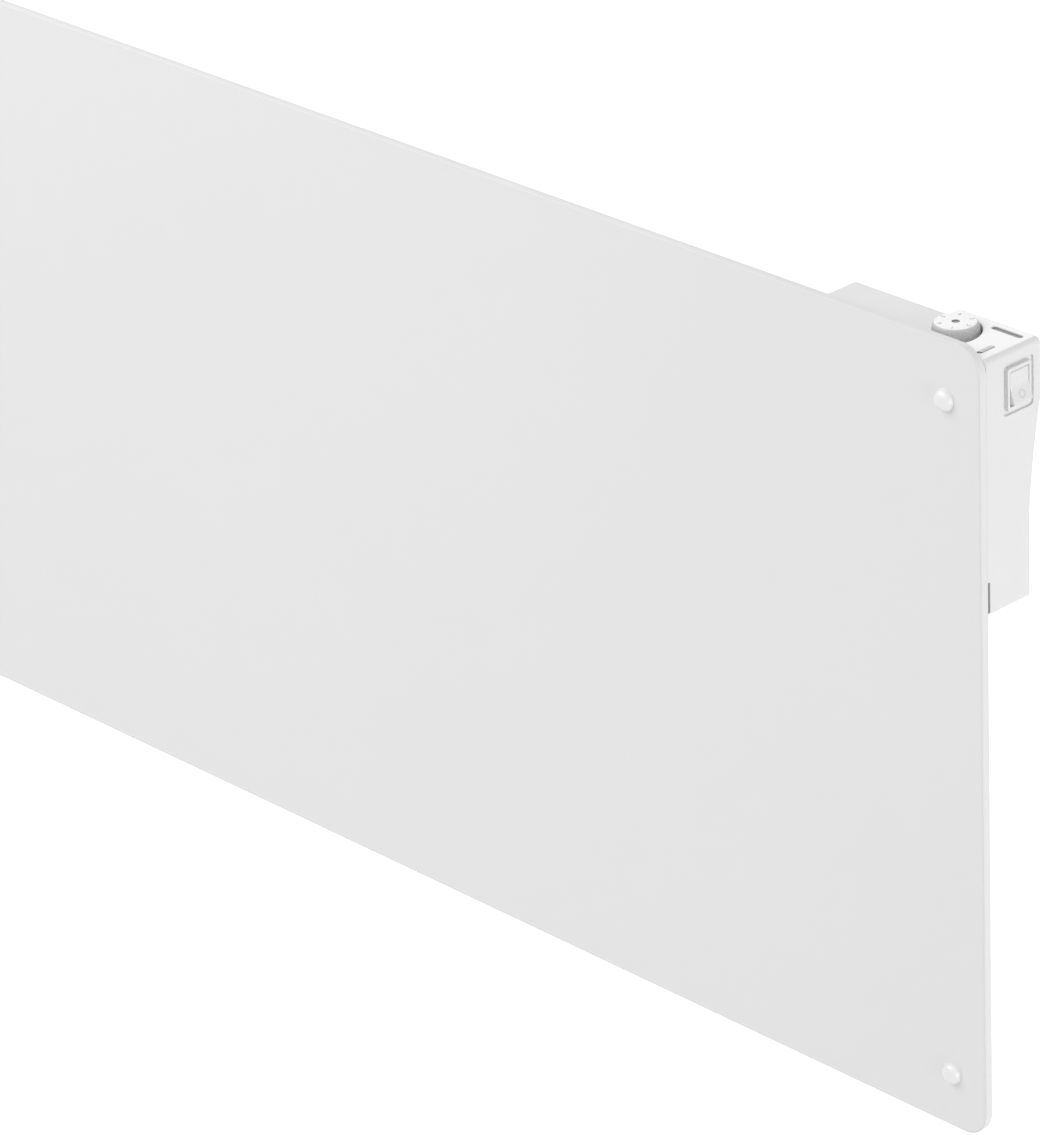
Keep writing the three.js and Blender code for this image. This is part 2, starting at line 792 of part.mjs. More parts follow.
function leadGrommet() {
  const lip = grommetGrooveRadius + grommetLip;
  const inner = panRight - traySheet - restGap;
  const outer = panRight + restGap;
  const body = join(
    rodX(grommetGrooveRadius, [inner - grommetLipThickness, outer + grommetLipThickness], leadDepth, cutoutZ),
    rodX(lip, [inner - grommetLipThickness, inner], leadDepth, cutoutZ),
    rodX(lip, [outer, outer + grommetLipThickness], leadDepth, cutoutZ),
  );
  const through = [inner - 2 * grommetLip, outer + 2 * grommetLip];
  return cut(body, rodX(grommetBoreRadius, through, leadDepth, cutoutZ));
}

// ---------------------------------------------------------------- hangers and catches on the tray

function hanger() {
  const path = [
    [panDepth + bracketSheet, hangerHeight - hangerFootHeight],
    [panDepth + bracketSheet, hangerHeight],
    [panDepth + hangerReach - bracketSheet, hangerHeight],
    [panDepth + hangerReach - bracketSheet, hangerHeight - hangerLipDrop],
  ];
  return runX(bentSheet(path.reverse(), bracketSheet), [-hangerWidth / 2, hangerWidth / 2]);
}

// The catch for the right-hand lock; the left-hand one is its mirror image.
function lowerCatch(side) {
  const path = [
    [side * (catchWebX + catchFoot), panDepth],
    [side * catchWebX, panDepth],
    [side * catchWebX, panDepth + catchReach - bracketSheet],
    [side * catchLipInner, panDepth + catchReach - bracketSheet],
  ];
  const section = bentSheet(side > 0 ? path : [...path].reverse(), bracketSheet);
  const middle = lockHeight - heaterZ;
  return runZ(section, [middle - catchHeight / 2, middle + catchHeight / 2]);
}

// ---------------------------------------------------------------- control housing

// The housing's side view at an inset from its outer face, up to a top height.
function housingSide(top, inset) {
  const front = -2 * housingEdgeRadius;
  const bottom = housingBottom + inset;
  const backBottom = housingDepthBottom - inset;
  const backTop = housingDepthTop - inset;
  const swell = swellHeight;
  const curve = new THREE.CubicBezierCurve(
    new THREE.Vector2(backBottom, swellStart),
    new THREE.Vector2(backBottom + swellLowHandle[0], swellStart + swellLowHandle[1] * swell),
    new THREE.Vector2(backTop - swellHighHandle[0], swellEnd - swellHighHandle[1] * swell),
    new THREE.Vector2(backTop, swellEnd),
  );
  const radius = housingBackRadius - inset;
  const corner = outline(
    [
      [backTop, swellEnd, 0],
      [backTop, top - inset, radius],
      [front, top - inset, 0],
    ],
    arcSteps,
  );
  return [
    new THREE.Vector2(front, bottom),
    new THREE.Vector2(backBottom, bottom),
    ...curve.getPoints(swellSteps).slice(0, -1),
    ...corner,
  ];
}

function housingOuter() {
  const lowerRun = [-housingWidth, -plateauLength / 2];
  const lower = runX(housingSide(housingTop, 0), lowerRun, housingEdgeRadius, edgeSteps);
  const plateau = runX(housingSide(plateauTop, 0), [-plateauLength, 0], housingEdgeRadius, edgeSteps);
  return join(lower, plateau);
}

function housingInner() {
  const wall = housingWall;
  const lower = runX(housingSide(housingTop, wall), [-housingWidth + wall, -wall]);
  const hollowLeft = sensorX - sensorLength / 2 - boreGap;
  const plateau = runX(housingSide(plateauTop, wall), [hollowLeft, -wall]);
  const wellWall = [housingTop - wall, panelHeight];
  const aroundWell = rodZ(knobWellRadius + wall, wellWall, knobWellX, knobWellDepth, knobWellSides);
  return join(lower, cut(plateau, aroundWell));
}

function housingScrewPlaces() {
  const left = -housingWidth + bossInset;
  const low = housingBottom + bossInset;
  return [
    [left, low],
    [-flangeInset - bossRadius, low],
    [left, housingTop - bossInset],
  ];
}

const postPlaces = () => [
  [boardLeft + postInset, boardBottom + postInset],
  [boardRight - postInset, boardBottom + postInset],
  [boardLeft + postInset, boardTop - postInset],
  [boardRight - postInset, boardTop - postInset],
];

const boardScrewPlaces = () => [postPlaces()[1], postPlaces()[2]];

function controlHousing() {
  const outer = housingOuter();
  const reach = 2 * housingDepthTop;
  const seat = flangeRear + restGap;
  const bosses = housingScrewPlaces().map(([x, z]) => rodY(bossRadius, [seat, reach], x, z));
  const posts = postPlaces().map(([x, z]) => rodY(postRadius, [boardRear + restGap, reach], x, z));
  const ribs = [-1, 1].map((side) => {
    const x = sensorX + (side * sensorLength) / 4;
    return block(
      [x - sensorRibThickness / 2, x + sensorRibThickness / 2],
      [airSlotDepth - 2 * sensorRadius, airSlotDepth + 2 * sensorRadius],
      [sensorZ, plateauTop - housingWall / 2],
    );
  });
  const inside = overlap(outer, join(bosses[0], ...bosses.slice(1), ...posts, ...ribs));
  const shell = join(cut(outer, housingInner()), inside);

  const openFront = block([-2 * housingWidth, housingWidth], [-reach, housingFront], [0, 2 * panelHeight]);
  const flangeSeat = block(
    [-2 * housingWidth, -flangeInset + restGap],
    [-reach, seat],
    [0, panelHeight - flangeInset + restGap],
  );
  const aboveFloor = [housingTop, panelHeight];
  const knobWell = rodZ(knobWellRadius, aboveFloor, knobWellX, knobWellDepth, knobWellSides);
  const topWall = [housingTop - housingWall - overrun, panelHeight];
  const bushingHole = rodZ(bushingRadius + boreGap, topWall, knobX, knobDepth);
  const switchWindow = block(
    [-2 * housingWall, housingWall],
    [switchDepth - switchBodyWidth / 2 - boreGap, switchDepth + switchBodyWidth / 2 + boreGap],
    [switchHeight - switchBodyHeight / 2 - boreGap, switchHeight + switchBodyHeight / 2 + boreGap],
  );
  const airSlot = block(
    [-airSlotInset - airSlotLength, -airSlotInset],
    [airSlotDepth - airSlotWidth / 2, airSlotDepth + airSlotWidth / 2],
    [plateauTop - housingWall - overrun, plateauTop + overrun],
  );
  const lensHole = block(
    [-lensInset - lensWidth / 2 - boreGap, -lensInset + lensWidth / 2 + boreGap],
    [lensDepth - lensLength / 2 - boreGap, lensDepth + lensLength / 2 + boreGap],
    [plateauTop - housingWall - overrun, plateauTop + overrun],
  );
  const notchBottom = housingBottom + pryNotchAbove;
  const pryNotch = block(
    [-2 * housingWall, housingWall],
    [-overrun, housingFront + pryNotchDepth],
    [notchBottom, notchBottom + pryNotchHeight],
  );
  const glandHole = rodZ(
    glandStemRadius + boreGap,
    [housingBottom - overrun, housingBottom + housingWall + overrun],
    -glandInset,
    glandDepth,
    roundSides,
  );
  const leadHole = rodX(
    grommetHoleRadius,
    [-housingWidth - overrun, -housingWidth + housingWall + overrun],
    leadDepth,
    cutoutZ,
  );
  const screwBores = housingScrewPlaces().map(([x, z]) =>
    rodY(housingScrewRadius + boreGap, [0, flangeRear + housingScrewLength + restGap], x, z),
  );
  const postBores = boardScrewPlaces().map(([x, z]) =>
    rodY(boardScrewRadius + boreGap, [boardRear, boardDepth + boardScrewLength + restGap], x, z),
  );
  const sensorSeat = rodX(sensorRadius + boreGap, [-plateauLength, 0], airSlotDepth, sensorZ);
  const seatInRibs = overlap(sensorSeat, join(ribs[0], ribs[1]));
  return cut(
    shell,
    openFront,
    flangeSeat,
    knobWell,
    bushingHole,
    switchWindow,
    airSlot,
    lensHole,
    pryNotch,
    glandHole,
    leadHole,
    ...screwBores,
    ...postBores,
    seatInRibs,
  );
}

// ---------------------------------------------------------------- screws in the control unit

// A pan-headed screw along +Y whose head's underside is at y = 0.
function panScrew(headRadius, headHeight, shankRadius, length) {
  const profile = [
    [0, -headHeight],
    [headRadius * screwCrownShare, -headHeight],
    [headRadius, -headHeight / 2],
    [headRadius, 0],
    [shankRadius, 0],
    [shankRadius, length],
    [0, length],
  ];
  return turned(profile, smallRoundSides).rotateX(-Math.PI / 2);
}

function housingScrews() {
  const screw = panScrew(
    housingScrewHeadRadius,
    housingScrewHeadHeight,
    housingScrewRadius,
    traySheet + housingScrewLength,
  );
  return housingScrewPlaces().map(([x, z], i) =>
    place("housing_screw_" + (i + 1), screw, zincPlate, [x, flangeFront, z]),
  );
}

function boardScrews() {
  const screw = panScrew(boardScrewHeadRadius, boardScrewHeadHeight, boardScrewRadius, boardScrewLength);
  return boardScrewPlaces().map(([x, z], i) =>
    place("board_screw_" + (i + 1), screw, zincPlate, [x, boardDepth - restGap, z]),
  );
}

// ---------------------------------------------------------------- knob and thermostat

// Both are turned about the knob's axis, with z = 0 at the knob's base.
function settingKnob() {
  const top = knobHeight;
  const dotFloor = top - knobDotDepth;
  const boreTop = dotFloor - knobCrown;
  const profile = [
    [knobRecessRadius, 0],
    [knobBaseRadius, 0],
    [knobTopRadius, top - knobEdgeRadius],
    [knobTopRadius - knobEdgeRadius, top],
    [knobDotRadius, top],
    [knobDotRadius, dotFloor],
    [0, dotFloor],
    [0, boreTop],
    [shaftRadius + boreGap, boreTop],
    [shaftRadius + boreGap, knobRecessDepth],
    [knobRecessRadius, knobRecessDepth],
  ];
  return turned(profile, knobSides);
}

function thermostatShaft() {
  const bottom = housingTop - housingWall - restGap - thermostatHeight / 2;
  const top = knobBaseZ + knobHeight - knobDotDepth - knobCrown - restGap;
  return rodZ(shaftRadius, [bottom, top], 0, 0);
}

function thermostatBody() {
  const top = housingTop - housingWall - restGap;
  const half = thermostatSize / 2;
  const box = block([-half, half], [-half, half], [top - thermostatHeight, top]);
  const bushing = rodZ(bushingRadius, [top - overrun, housingTop + bushingHeight], 0, 0);
  const bore = rodZ(shaftRadius + boreGap, [top - thermostatHeight / 2 - restGap, panelHeight], 0, 0);
  return cut(join(box, bushing), bore);
}

function thermostatNut() {
  const nut = hexNut(thermostatNutAcross, thermostatNutThickness, bushingRadius + boreGap);
  return nut.translate(0, 0, housingTop);
}

// ---------------------------------------------------------------- rocker switch

function rockerSwitchBody() {
  const halfBezelWidth = bezelWidth / 2;
  const halfBezelHeight = bezelHeight / 2;
  const rim = runX(
    rectangle(
      [-halfBezelWidth, halfBezelWidth],
      [-halfBezelHeight, halfBezelHeight],
      bezelCornerRadius,
      smallArcSteps,
    ),
    [-bezelBevel, bezelThickness],
    bezelBevel,
  );
  const behind = block([-bezelThickness, 0], [-bezelWidth, bezelWidth], [-bezelHeight, bezelHeight]);
  const frame = cut(rim, behind);
  const body = block(
    [-switchBodyLength, bezelThickness / 2],
    [-switchBodyWidth / 2, switchBodyWidth / 2],
    [-switchBodyHeight / 2, switchBodyHeight / 2],
  );
  const well = block(
    [-rockerWell, bezelThickness + overrun],
    [-rockerWindowWidth / 2, rockerWindowWidth / 2],
    [-rockerWindowHeight / 2, rockerWindowHeight / 2],
  );
  return cut(join(frame, body), well);
}

// The rocker's two faces meet in a shallow V; it is modelled level about its axis.
function rocker() {
  const rise = rockerHalfHeight * Math.tan(THREE.MathUtils.degToRad(rockerTilt));
  const half = rockerHalfHeight;
  const side = outline(
    [
      [rockerFace, 0],
      [rockerFace + rise, half, rockerTipRadius],
      [-rockerFace / 2, rockerHeelHalfHeight],
      [-rockerBellyDepth, rockerBellyHalfHeight],
      [-rockerBellyDepth, -rockerBellyHalfHeight],
      [-rockerFace / 2, -rockerHeelHalfHeight],
      [rockerFace + rise, -half, rockerTipRadius],
    ],
    smallArcSteps,
  );
  const bar = new THREE.ExtrudeGeometry(new THREE.Shape(side), { depth: rockerWidth, bevelEnabled: false });
  return bar.rotateX(Math.PI / 2).translate(0, rockerWidth / 2, 0);
}

function switchTerminals() {
  const blade = block(
    [-switchBodyLength - terminalLength, -switchBodyLength],
    [-terminalWidth / 2, terminalWidth / 2],
    [-terminalThickness / 2, terminalThickness / 2],
  );
  return [-1, 1].map((side, i) => {
    const z = switchHeight + (side * terminalSpacing) / 2;
    return place("switch_terminal_" + (i + 1), blade, brass, [0, switchDepth, z]);
  });
}

// ---------------------------------------------------------------- sensor, lens and lamp

const airSensor = () => rodX(sensorRadius, [-sensorLength / 2, sensorLength / 2], 0, 0, 8);

function pilotLens() {
  const inner = plateauTop - housingWall - restGap;
  const stem = block(
    [-lensWidth / 2, lensWidth / 2],
    [-lensLength / 2, lensLength / 2],
    [inner - lensFlange / 2, plateauTop + lensProud],
  );
  const flange = block(
    [-lensWidth / 2 - lensFlange, lensWidth / 2 + lensFlange],
    [-lensLength / 2 - lensFlange / 2, lensLength / 2 + lensFlange / 2],
    [inner - lensFlange, inner],
  );
  return join(stem, flange);
}

function pilotLamp() {
  const top = plateauTop - housingWall - lensFlange - 2 * restGap;
  const profile = [
    [0, top - lampHeight],
    [lampBaseRadius, top - lampHeight],
    [lampBaseRadius, top - lampHeight + lampBaseHeight],
    [lampRadius, top - lampHeight + lampBaseHeight],
    [lampRadius, top - lampRadius],
    [lampTipRadius, top - lampTipHeight],
    [0, top],
  ];
  return turned(profile, smallRoundSides);
}

// ---------------------------------------------------------------- circuit board

function circuitBoard() {
  const card = block([boardLeft, boardRight], [boardDepth, boardRear], [boardBottom, boardTop]);
  const holes = boardScrewPlaces().map(([x, z]) =>
    rodY(boardScrewRadius + boreGap, [0, housingDepthTop], x, z),
  );
  return cut(card, ...holes);
}

function relay() {
  const left = boardRight - relayInset - relayWidth;
  const bottom = boardBottom + relayInset;
  const rear = boardDepth - restGap;
  const across = [left, left + relayWidth];
  const edge = rectangle(across, [bottom, bottom + relayHeight], relayCornerRadius, smallArcSteps);
  return plate(edge, [rear - relayDepth, rear]);
}

function terminalBlock() {
  const rear = boardDepth - restGap;
  const left = terminalBlockLeft;
  const bottom = cutoutZ - terminalBlockHeight / 2;
  const body = block(
    [left, left + terminalBlockWidth],
    [rear - terminalBlockDepth, rear],
    [bottom, bottom + terminalBlockHeight],
  );
  const way = [left - overrun, left + wireHoleDepth];
  const wireHoles = leadHeights.map((z) => rodX(wireHoleRadius, way, leadDepth, z));
  const screwHoles = leadHeights.map((z) =>
    rodY(wireHoleRadius, [rear - terminalBlockDepth - overrun, leadDepth], left + terminalBlockWidth / 2, z),
  );
  return cut(body, ...wireHoles, ...screwHoles);
}

// ---------------------------------------------------------------- cable gland

// Turned about the cable's axis, with z = 0 on the outside of the housing's bottom.
function cableGland() {
  const stemTop = housingWall + glandStemAbove;
  const capBottom = -glandHexHeight - glandCapHeight;
  const profile = [
    [glandBoreRadius, capBottom],
    [glandMouthRadius, capBottom],
    [glandCapRadius, capBottom + glandCapHeight / 3],
    [glandCapRadius, -glandHexHeight / 2],
    [glandStemRadius, -glandHexHeight / 2],
    [glandStemRadius, stemTop],
    [glandBoreRadius, stemTop],
  ];
  const hex = rodZ(hexRadius(glandAcross), [-glandHexHeight, 0], 0, 0, 6);
  const bore = rodZ(glandBoreRadius, [-glandHexHeight - overrun, overrun], 0, 0, roundSides);
  return join(turned(profile), cut(hex, bore));
}

function glandNut() {
  const nut = hexNut(glandAcross, glandNutThickness, glandStemRadius + boreGap);
  return nut.translate(0, 0, housingWall + restGap);
}

// ---------------------------------------------------------------- wall bracket

const wallSlots = (z) =>
  [-1, 1].map((side) => {
    const x = side * wallSlotOffset;
    const half = wallSlotWidth / 2;
    const run = wallSlotLength / 2 - half;
    const depth = [-2 * bracketSheet, bracketSheet];
    const ends = [x - run, x + run].map((end) => rodY(half, depth, end, z));
    return join(block([x - run, x + run], depth, [z - half, z + half]), ...ends);
  });

function rivetHoles(z) {
  const through = [-2 * bracketSheet, bracketSheet];
  return [-1, 1].map((side) => rodY(rivetRadius + boreGap, through, side * uprightOffset, z));
}

function upperRail() {
  const top = railHeight / 2;
  const section = bentSheet(
    [
      [-railShelf, top],
      [0, top],
      [0, -top],
    ],
    bracketSheet,
  );
  const rail = runX(section, [-railLength / 2, railLength / 2]);
  const hookSection = bentSheet(
    [
      [hookRearY, top + hookRise],
      [hookRearY, top],
      [-railShelf + overrun, top],
    ],
    bracketSheet,
  );
  const hooks = [-1, 1].map((side) => {
    const x = side * hookOffset;
    return runX(hookSection, [x - hookWidth / 2, x + hookWidth / 2]);
  });
  return cut(join(rail, ...hooks), ...wallSlots(0), ...rivetHoles(0));
}

function lowerRail() {
  const half = railHeight / 2;
  const bottom = lowerRailZ - half;
  const section = bentSheet(
    [
      [0, lowerRailZ + half],
      [0, bottom],
      [-railShelf, bottom],
    ],
    bracketSheet,
  );
  const rail = runX(section, [-railLength / 2, railLength / 2]);
  const earSection = bentSheet(
    [
      [-railShelf + overrun, bottom],
      [lockEarFrontY, bottom],
      [lockEarFrontY, lockHeight + lockEarTop],
    ],
    bracketSheet,
  );
  const ears = [-1, 1].map((side) => {
    const x = side * lockOffset;
    return runX(earSection, [x - lockEarWidth / 2, x + lockEarWidth / 2]);
  });
  const pivotHoles = [-1, 1].map((side) =>
    rodY(rivetRadius + boreGap, [lockFrontY, 0], side * lockOffset, lockHeight),
  );
  const holes = [...wallSlots(lowerRailZ), ...rivetHoles(lowerRailZ)];
  return cut(join(rail, ...ears), ...pivotHoles, ...holes);
}

function upright() {
  const half = uprightWidth / 2;
  const front = -bracketSheet - restGap - bracketSheet;
  const low = lowerRailZ - railHeight / 2 + 2 * bracketSheet;
  const high = railHeight / 2 - 2 * bracketSheet;
  const strip = plate(rectangle([-half, half], [low, high], 0), [front, front + bracketSheet]);
  const holes = [0, lowerRailZ].map((z) => rodY(rivetRadius + boreGap, [2 * front, 0], 0, z));
  return cut(strip, ...holes);
}

// A rivet along +Y with its head's underside at y = 0.
const rivet = (length) => panScrew(rivetHeadRadius, rivetHeadHeight, rivetRadius, length);

function bracketRivets() {
  const front = -2 * bracketSheet - 2 * restGap;
  const body = rivet(-front - restGap);
  return [0, lowerRailZ].flatMap((z, row) =>
    [-1, 1].map((side) => {
      const name = "bracket_rivet_" + (row ? "lower_" : "upper_") + (side < 0 ? "left" : "right");
      return place(name, body, zincPlate, [side * uprightOffset, front, z]);
    }),
  );
}

// ---------------------------------------------------------------- turning locks

// A tongue toward the catch and a handle downwards, about the pivot at the origin.
function lockLever(side) {
  const half = lockArmWidth / 2;
  const depth = [lockFrontY, lockRearY];
  const hub = rodY(lockHubRadius, depth, 0, 0, roundSides);
  const reach = side * lockTongueLength;
  const across = [Math.min(0, reach), Math.max(0, reach)];
  const tongue = plate(rectangle(across, [-half, half], lockTongueRadius, smallArcSteps), depth);
  const handle = plate(rectangle([-half, half], [-lockHandleLength, 0], lockHandleRadius, edgeSteps), depth);
  const bore = rodY(rivetRadius + boreGap, [2 * lockFrontY, 0], 0, 0);
  return cut(join(hub, tongue, handle), bore);
}

function locks() {
  const head = lockFrontY - restGap;
  const pivot = rivet(lockEarFrontY + bracketSheet + lockPivotTail - head);
  return [-1, 1].flatMap((side) => {
    const name = side < 0 ? "left" : "right";
    const x = side * lockOffset;
    return [
      place("lock_lever_" + name, lockLever(side), zincPlate, [x, 0, lockHeight]),
      place("lock_pivot_" + name, pivot, zincPlate, [x, head, lockHeight]),
    ];
  });
}

// ---------------------------------------------------------------- assembly

function wallBracket() {
  const strip = upright();
  return groupAt(
    [0, 0, 0],
    place("upper_rail", upperRail(), whitePaint),
    place("lower_rail", lowerRail(), whitePaint),
    place("upright_left", strip, whitePaint, [-uprightOffset, 0, 0]),
    place("upright_right", strip, whitePaint, [uprightOffset, 0, 0]),
    bracketRivets(),
    locks(),
  );
}

function controlUnit() {
  const knobCentre = [knobX, knobDepth, 0];
  const tilted = place("rocker", rocker(), greySwitch, [rockerAxisX, switchDepth, switchHeight]);
  tilted.rotation.y = THREE.MathUtils.degToRad(-rockerTilt);
  return groupAt(
    [panelWidth / 2, 0, 0],
    place("control_housing", controlHousing(), whiteShell),
    housingScrews(),
    place("circuit_board", circuitBoard(), boardGreen),
    boardScrews(),
    place("relay", relay(), blackPlastic),
    place("terminal_block", terminalBlock(), greySwitch),
    place("air_sensor", airSensor(), blackPlastic, [sensorX, airSlotDepth, sensorZ]),
    place("pilot_lens", pilotLens(), lensPlastic, [-lensInset, lensDepth, 0]),
    place("pilot_lamp", pilotLamp(), lensPlastic, [-lensInset, lensDepth, 0]),
    place("thermostat_body", thermostatBody(), blackPlastic, knobCentre),
    place("thermostat_nut", thermostatNut(), zincPlate, knobCentre),
    place("thermostat_shaft", thermostatShaft(), bareAluminium, knobCentre),
    place("setting_knob", settingKnob(), whiteKnob, [knobX, knobDepth, knobBaseZ]),
    place("rocker_switch_body", rockerSwitchBody(), greySwitch, [0, switchDepth, switchHeight]),
    tilted,
    switchTerminals(),
    place("cable_gland", cableGland(), greySwitch, [-glandInset, glandDepth, housingBottom]),
    place("gland_nut", glandNut(), greySwitch, [-glandInset, glandDepth, housingBottom]),
  );
}

function heater() {
  const hook = hanger();
  return groupAt(
    [0, heaterY, heaterZ],
    place("front_glass", frontGlass(), whiteGlass),
    cornerFixings(),
    place("rear_tray", rearTray(), whitePaint),
    place("heat_spreader", heatSpreader(), bareAluminium),
    place("heating_element", heatingElement(), elementFoil),
    place("insulation_board", insulationBoard(), mineralWool),
    place("overheat_cutout", overheatCutout(), blackPlastic),
    place("heater_lead_lower", heaterLead(leadHeights[0]), siliconeRubber),
    place("heater_lead_upper", heaterLead(leadHeights[1]), siliconeRubber),
    place("lead_grommet", leadGrommet(), blackPlastic),
    place("hanger_left", hook, zincPlate, [-hookOffset, 0, 0]),
    place("hanger_right", hook, zincPlate, [hookOffset, 0, 0]),
    place("lower_catch_left", lowerCatch(-1), zincPlate),
    place("lower_catch_right", lowerCatch(1), zincPlate),
    controlUnit(),
  );
}

const panelHeater = new THREE.Group();
panelHeater.add(wallBracket(), heater());

export default panelHeater;
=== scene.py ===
# An infrared heater with a white glass front, on its wall bracket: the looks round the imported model.
# Sizes in the dictionaries are in millimetres. The heater's own places are measured from the glass:
# x from its middle or its right edge, y from its rear face towards the wall, z from its lower edge.
import bpy
import bmesh
import math
from mathutils import Matrix, Vector


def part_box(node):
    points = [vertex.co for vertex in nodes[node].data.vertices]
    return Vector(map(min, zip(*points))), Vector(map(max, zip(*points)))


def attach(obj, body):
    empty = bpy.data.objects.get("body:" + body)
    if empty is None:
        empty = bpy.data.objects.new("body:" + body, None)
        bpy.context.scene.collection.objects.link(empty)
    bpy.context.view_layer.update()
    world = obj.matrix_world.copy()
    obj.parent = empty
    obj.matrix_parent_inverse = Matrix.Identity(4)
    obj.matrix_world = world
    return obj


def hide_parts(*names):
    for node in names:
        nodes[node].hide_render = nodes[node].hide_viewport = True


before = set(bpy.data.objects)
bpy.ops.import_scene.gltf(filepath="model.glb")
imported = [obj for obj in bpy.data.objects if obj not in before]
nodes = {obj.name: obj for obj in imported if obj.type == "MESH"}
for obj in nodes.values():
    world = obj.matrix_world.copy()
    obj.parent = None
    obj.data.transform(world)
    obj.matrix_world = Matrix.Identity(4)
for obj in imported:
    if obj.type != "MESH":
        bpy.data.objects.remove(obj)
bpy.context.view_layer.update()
mm = 0.001
print("frame loaded:", len(nodes), "nodes")

glassLow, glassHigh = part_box("front_glass")
heaterPlace = Vector((0, glassHigh.y / mm, glassLow.z / mm))  # the glass's middle, rear face and lower edge
unitPlace = Vector((glassHigh.x / mm, heaterPlace.y, heaterPlace.z))  # the same at the glass's right edge
panelWidth, panelHeight = (glassHigh.x - glassLow.x) / mm, (glassHigh.z - glassLow.z) / mm


def toLinear(code):  # an sRGB hex colour as the linear values that shaders take
    shades = [int(code[i:i + 2], 16) / 255 for i in (1, 3, 5)]
    return [s / 12.92 if s <= 0.04045 else ((s + 0.055) / 1.055) ** 2.4 for s in shades] + [1.0]


def addNode(tree, kind, settings=None, inputs=None):
    node = tree.nodes.new(kind)
    for name, value in (settings or {}).items():
        setattr(node, name, value)
    for name, value in (inputs or {}).items():
        if isinstance(value, bpy.types.NodeSocket):
            tree.links.new(value, node.inputs[name])
        else:
            node.inputs[name].default_value = value
    return node


def makeFinish(name, look):  # colour patches, uneven gloss and a fine relief, each at its real size
    material = bpy.data.materials.new(name)
    material.use_nodes = True
    tree = material.node_tree
    tree.nodes.clear()
    place = addNode(tree, "ShaderNodeTexCoord").outputs["Object"]
    along = addNode(tree, "ShaderNodeMapping", {}, {"Vector": place, "Scale": look.get("stretch", (1, 1, 1))})
    patches = addNode(tree, "ShaderNodeTexNoise", {}, {
        "Vector": along.outputs[0], "Scale": 1 / (look["patch"] * mm), "Detail": 3.0})
    grain = addNode(tree, look.get("pattern", "ShaderNodeTexNoise"), {}, {
        "Vector": along.outputs[0], "Scale": 1 / (look["grain"] * mm)})
    # a Mix node's sockets are given by number, because several of them share a name
    tint = addNode(tree, "ShaderNodeMix", {"data_type": "RGBA"}, {
        0: patches.outputs[0], 6: toLinear(look["colour"]), 7: toLinear(look["shade"])})
    gloss = addNode(tree, "ShaderNodeMapRange", {}, {
        "Value": patches.outputs[0], "From Min": 0.3, "From Max": 0.7,
        "To Min": look["roughness"][0], "To Max": look["roughness"][1]})
    relief = addNode(tree, "ShaderNodeBump", {}, {
        "Height": grain.outputs[0], "Distance": look["relief"] * mm, "Strength": look.get("strength", 0.5)})
    shader = addNode(tree, "ShaderNodeBsdfPrincipled", {}, {
        "Base Color": tint.outputs[2], "Roughness": gloss.outputs[0], "Normal": relief.outputs[0]})
    for socket, value in look.get("sockets", {}).items():
        shader.inputs[socket].default_value = value
    addNode(tree, "ShaderNodeOutputMaterial", {}, {"Surface": shader.outputs[0]})
    return material


# Float glass with white enamel fired on: a hard, wet gloss over an even white, with a very slight roll.
enamelledGlass = makeFinish("enamelledGlass", {
    "colour": "#ebebeb", "shade": "#e8e8e8", "patch": 240, "grain": 160, "roughness": (0.1, 0.13),
    "relief": 0.02, "strength": 0.3,
    "sockets": {"IOR": 1.52, "Coat Weight": 0.6, "Coat Roughness": 0.03, "Coat IOR": 1.52}})
# The same glass where its edge is ground and enamelled over: white and nearly matt.
groundGlass = makeFinish("groundGlass", {
    "colour": "#e7e7e7", "shade": "#e4e4e4", "patch": 40, "grain": 0.3, "roughness": (0.5, 0.6),
    "relief": 0.004, "strength": 0.3, "sockets": {"IOR": 1.52}})
# The narrow arris of that edge, a little greyer: the clear glass over the enamel, with painted shade where it
# faces the sides and below.
glassArrisAndShade = makeFinish("glassArrisAndShade", {
    "colour": "#e3e3e3", "shade": "#e0e0e0", "patch": 40, "grain": 0.3, "roughness": (0.4, 0.5),
    "relief": 0.004, "strength": 0.3, "sockets": {"IOR": 1.52}})
# Steel screw heads lacquered white under a hard clear coat: one soft highlight on an even white.
lacqueredSteel = makeFinish("lacqueredSteel", {
    "colour": "#f0f0f0", "shade": "#ececec", "patch": 2.5, "grain": 0.8, "roughness": (0.4, 0.5),
    "relief": 0.004, "strength": 0.3,
    "sockets": {"IOR": 1.5, "Coat Weight": 1.0, "Coat Roughness": 0.42, "Coat IOR": 1.9}})
# Zinc-plated steel: cool grey with a cloudy, slightly bluish bloom.
zincSteel = makeFinish("zincSteel", {
    "colour": "#bfc2c5", "shade": "#a8acb1", "patch": 7, "grain": 0.9, "roughness": (0.28, 0.42),
    "relief": 0.012, "sockets": {"Metallic": 1.0}})
# Powder-coated steel: satin white with the fine orange peel of the baked powder.
powderCoat = makeFinish("powderCoat", {
    "colour": "#e2e2e0", "shade": "#dcdcda", "patch": 60, "grain": 1.6, "roughness": (0.36, 0.46),
    "relief": 0.03, "strength": 0.45, "sockets": {"IOR": 1.5}})
# Moulded ABS with a fine spark-eroded grain: matt, even white.
grainedAbs = makeFinish("grainedAbs", {
    "colour": "#e9e9e9", "shade": "#e5e5e5", "patch": 30, "grain": 0.45, "roughness": (0.4, 0.48),
    "relief": 0.02, "strength": 0.35, "sockets": {"IOR": 1.53}})
# The same ABS from a polished part of the mould: glassy, and painted a brighter white as painted light on the
# raised top.
polishedAbsPaintedLight = makeFinish("polishedAbsPaintedLight", {
    "colour": "#fafafa", "shade": "#f7f7f7", "patch": 30, "grain": 6, "roughness": (0.08, 0.12),
    "relief": 0.004, "strength": 0.3, "sockets": {"IOR": 1.53}})
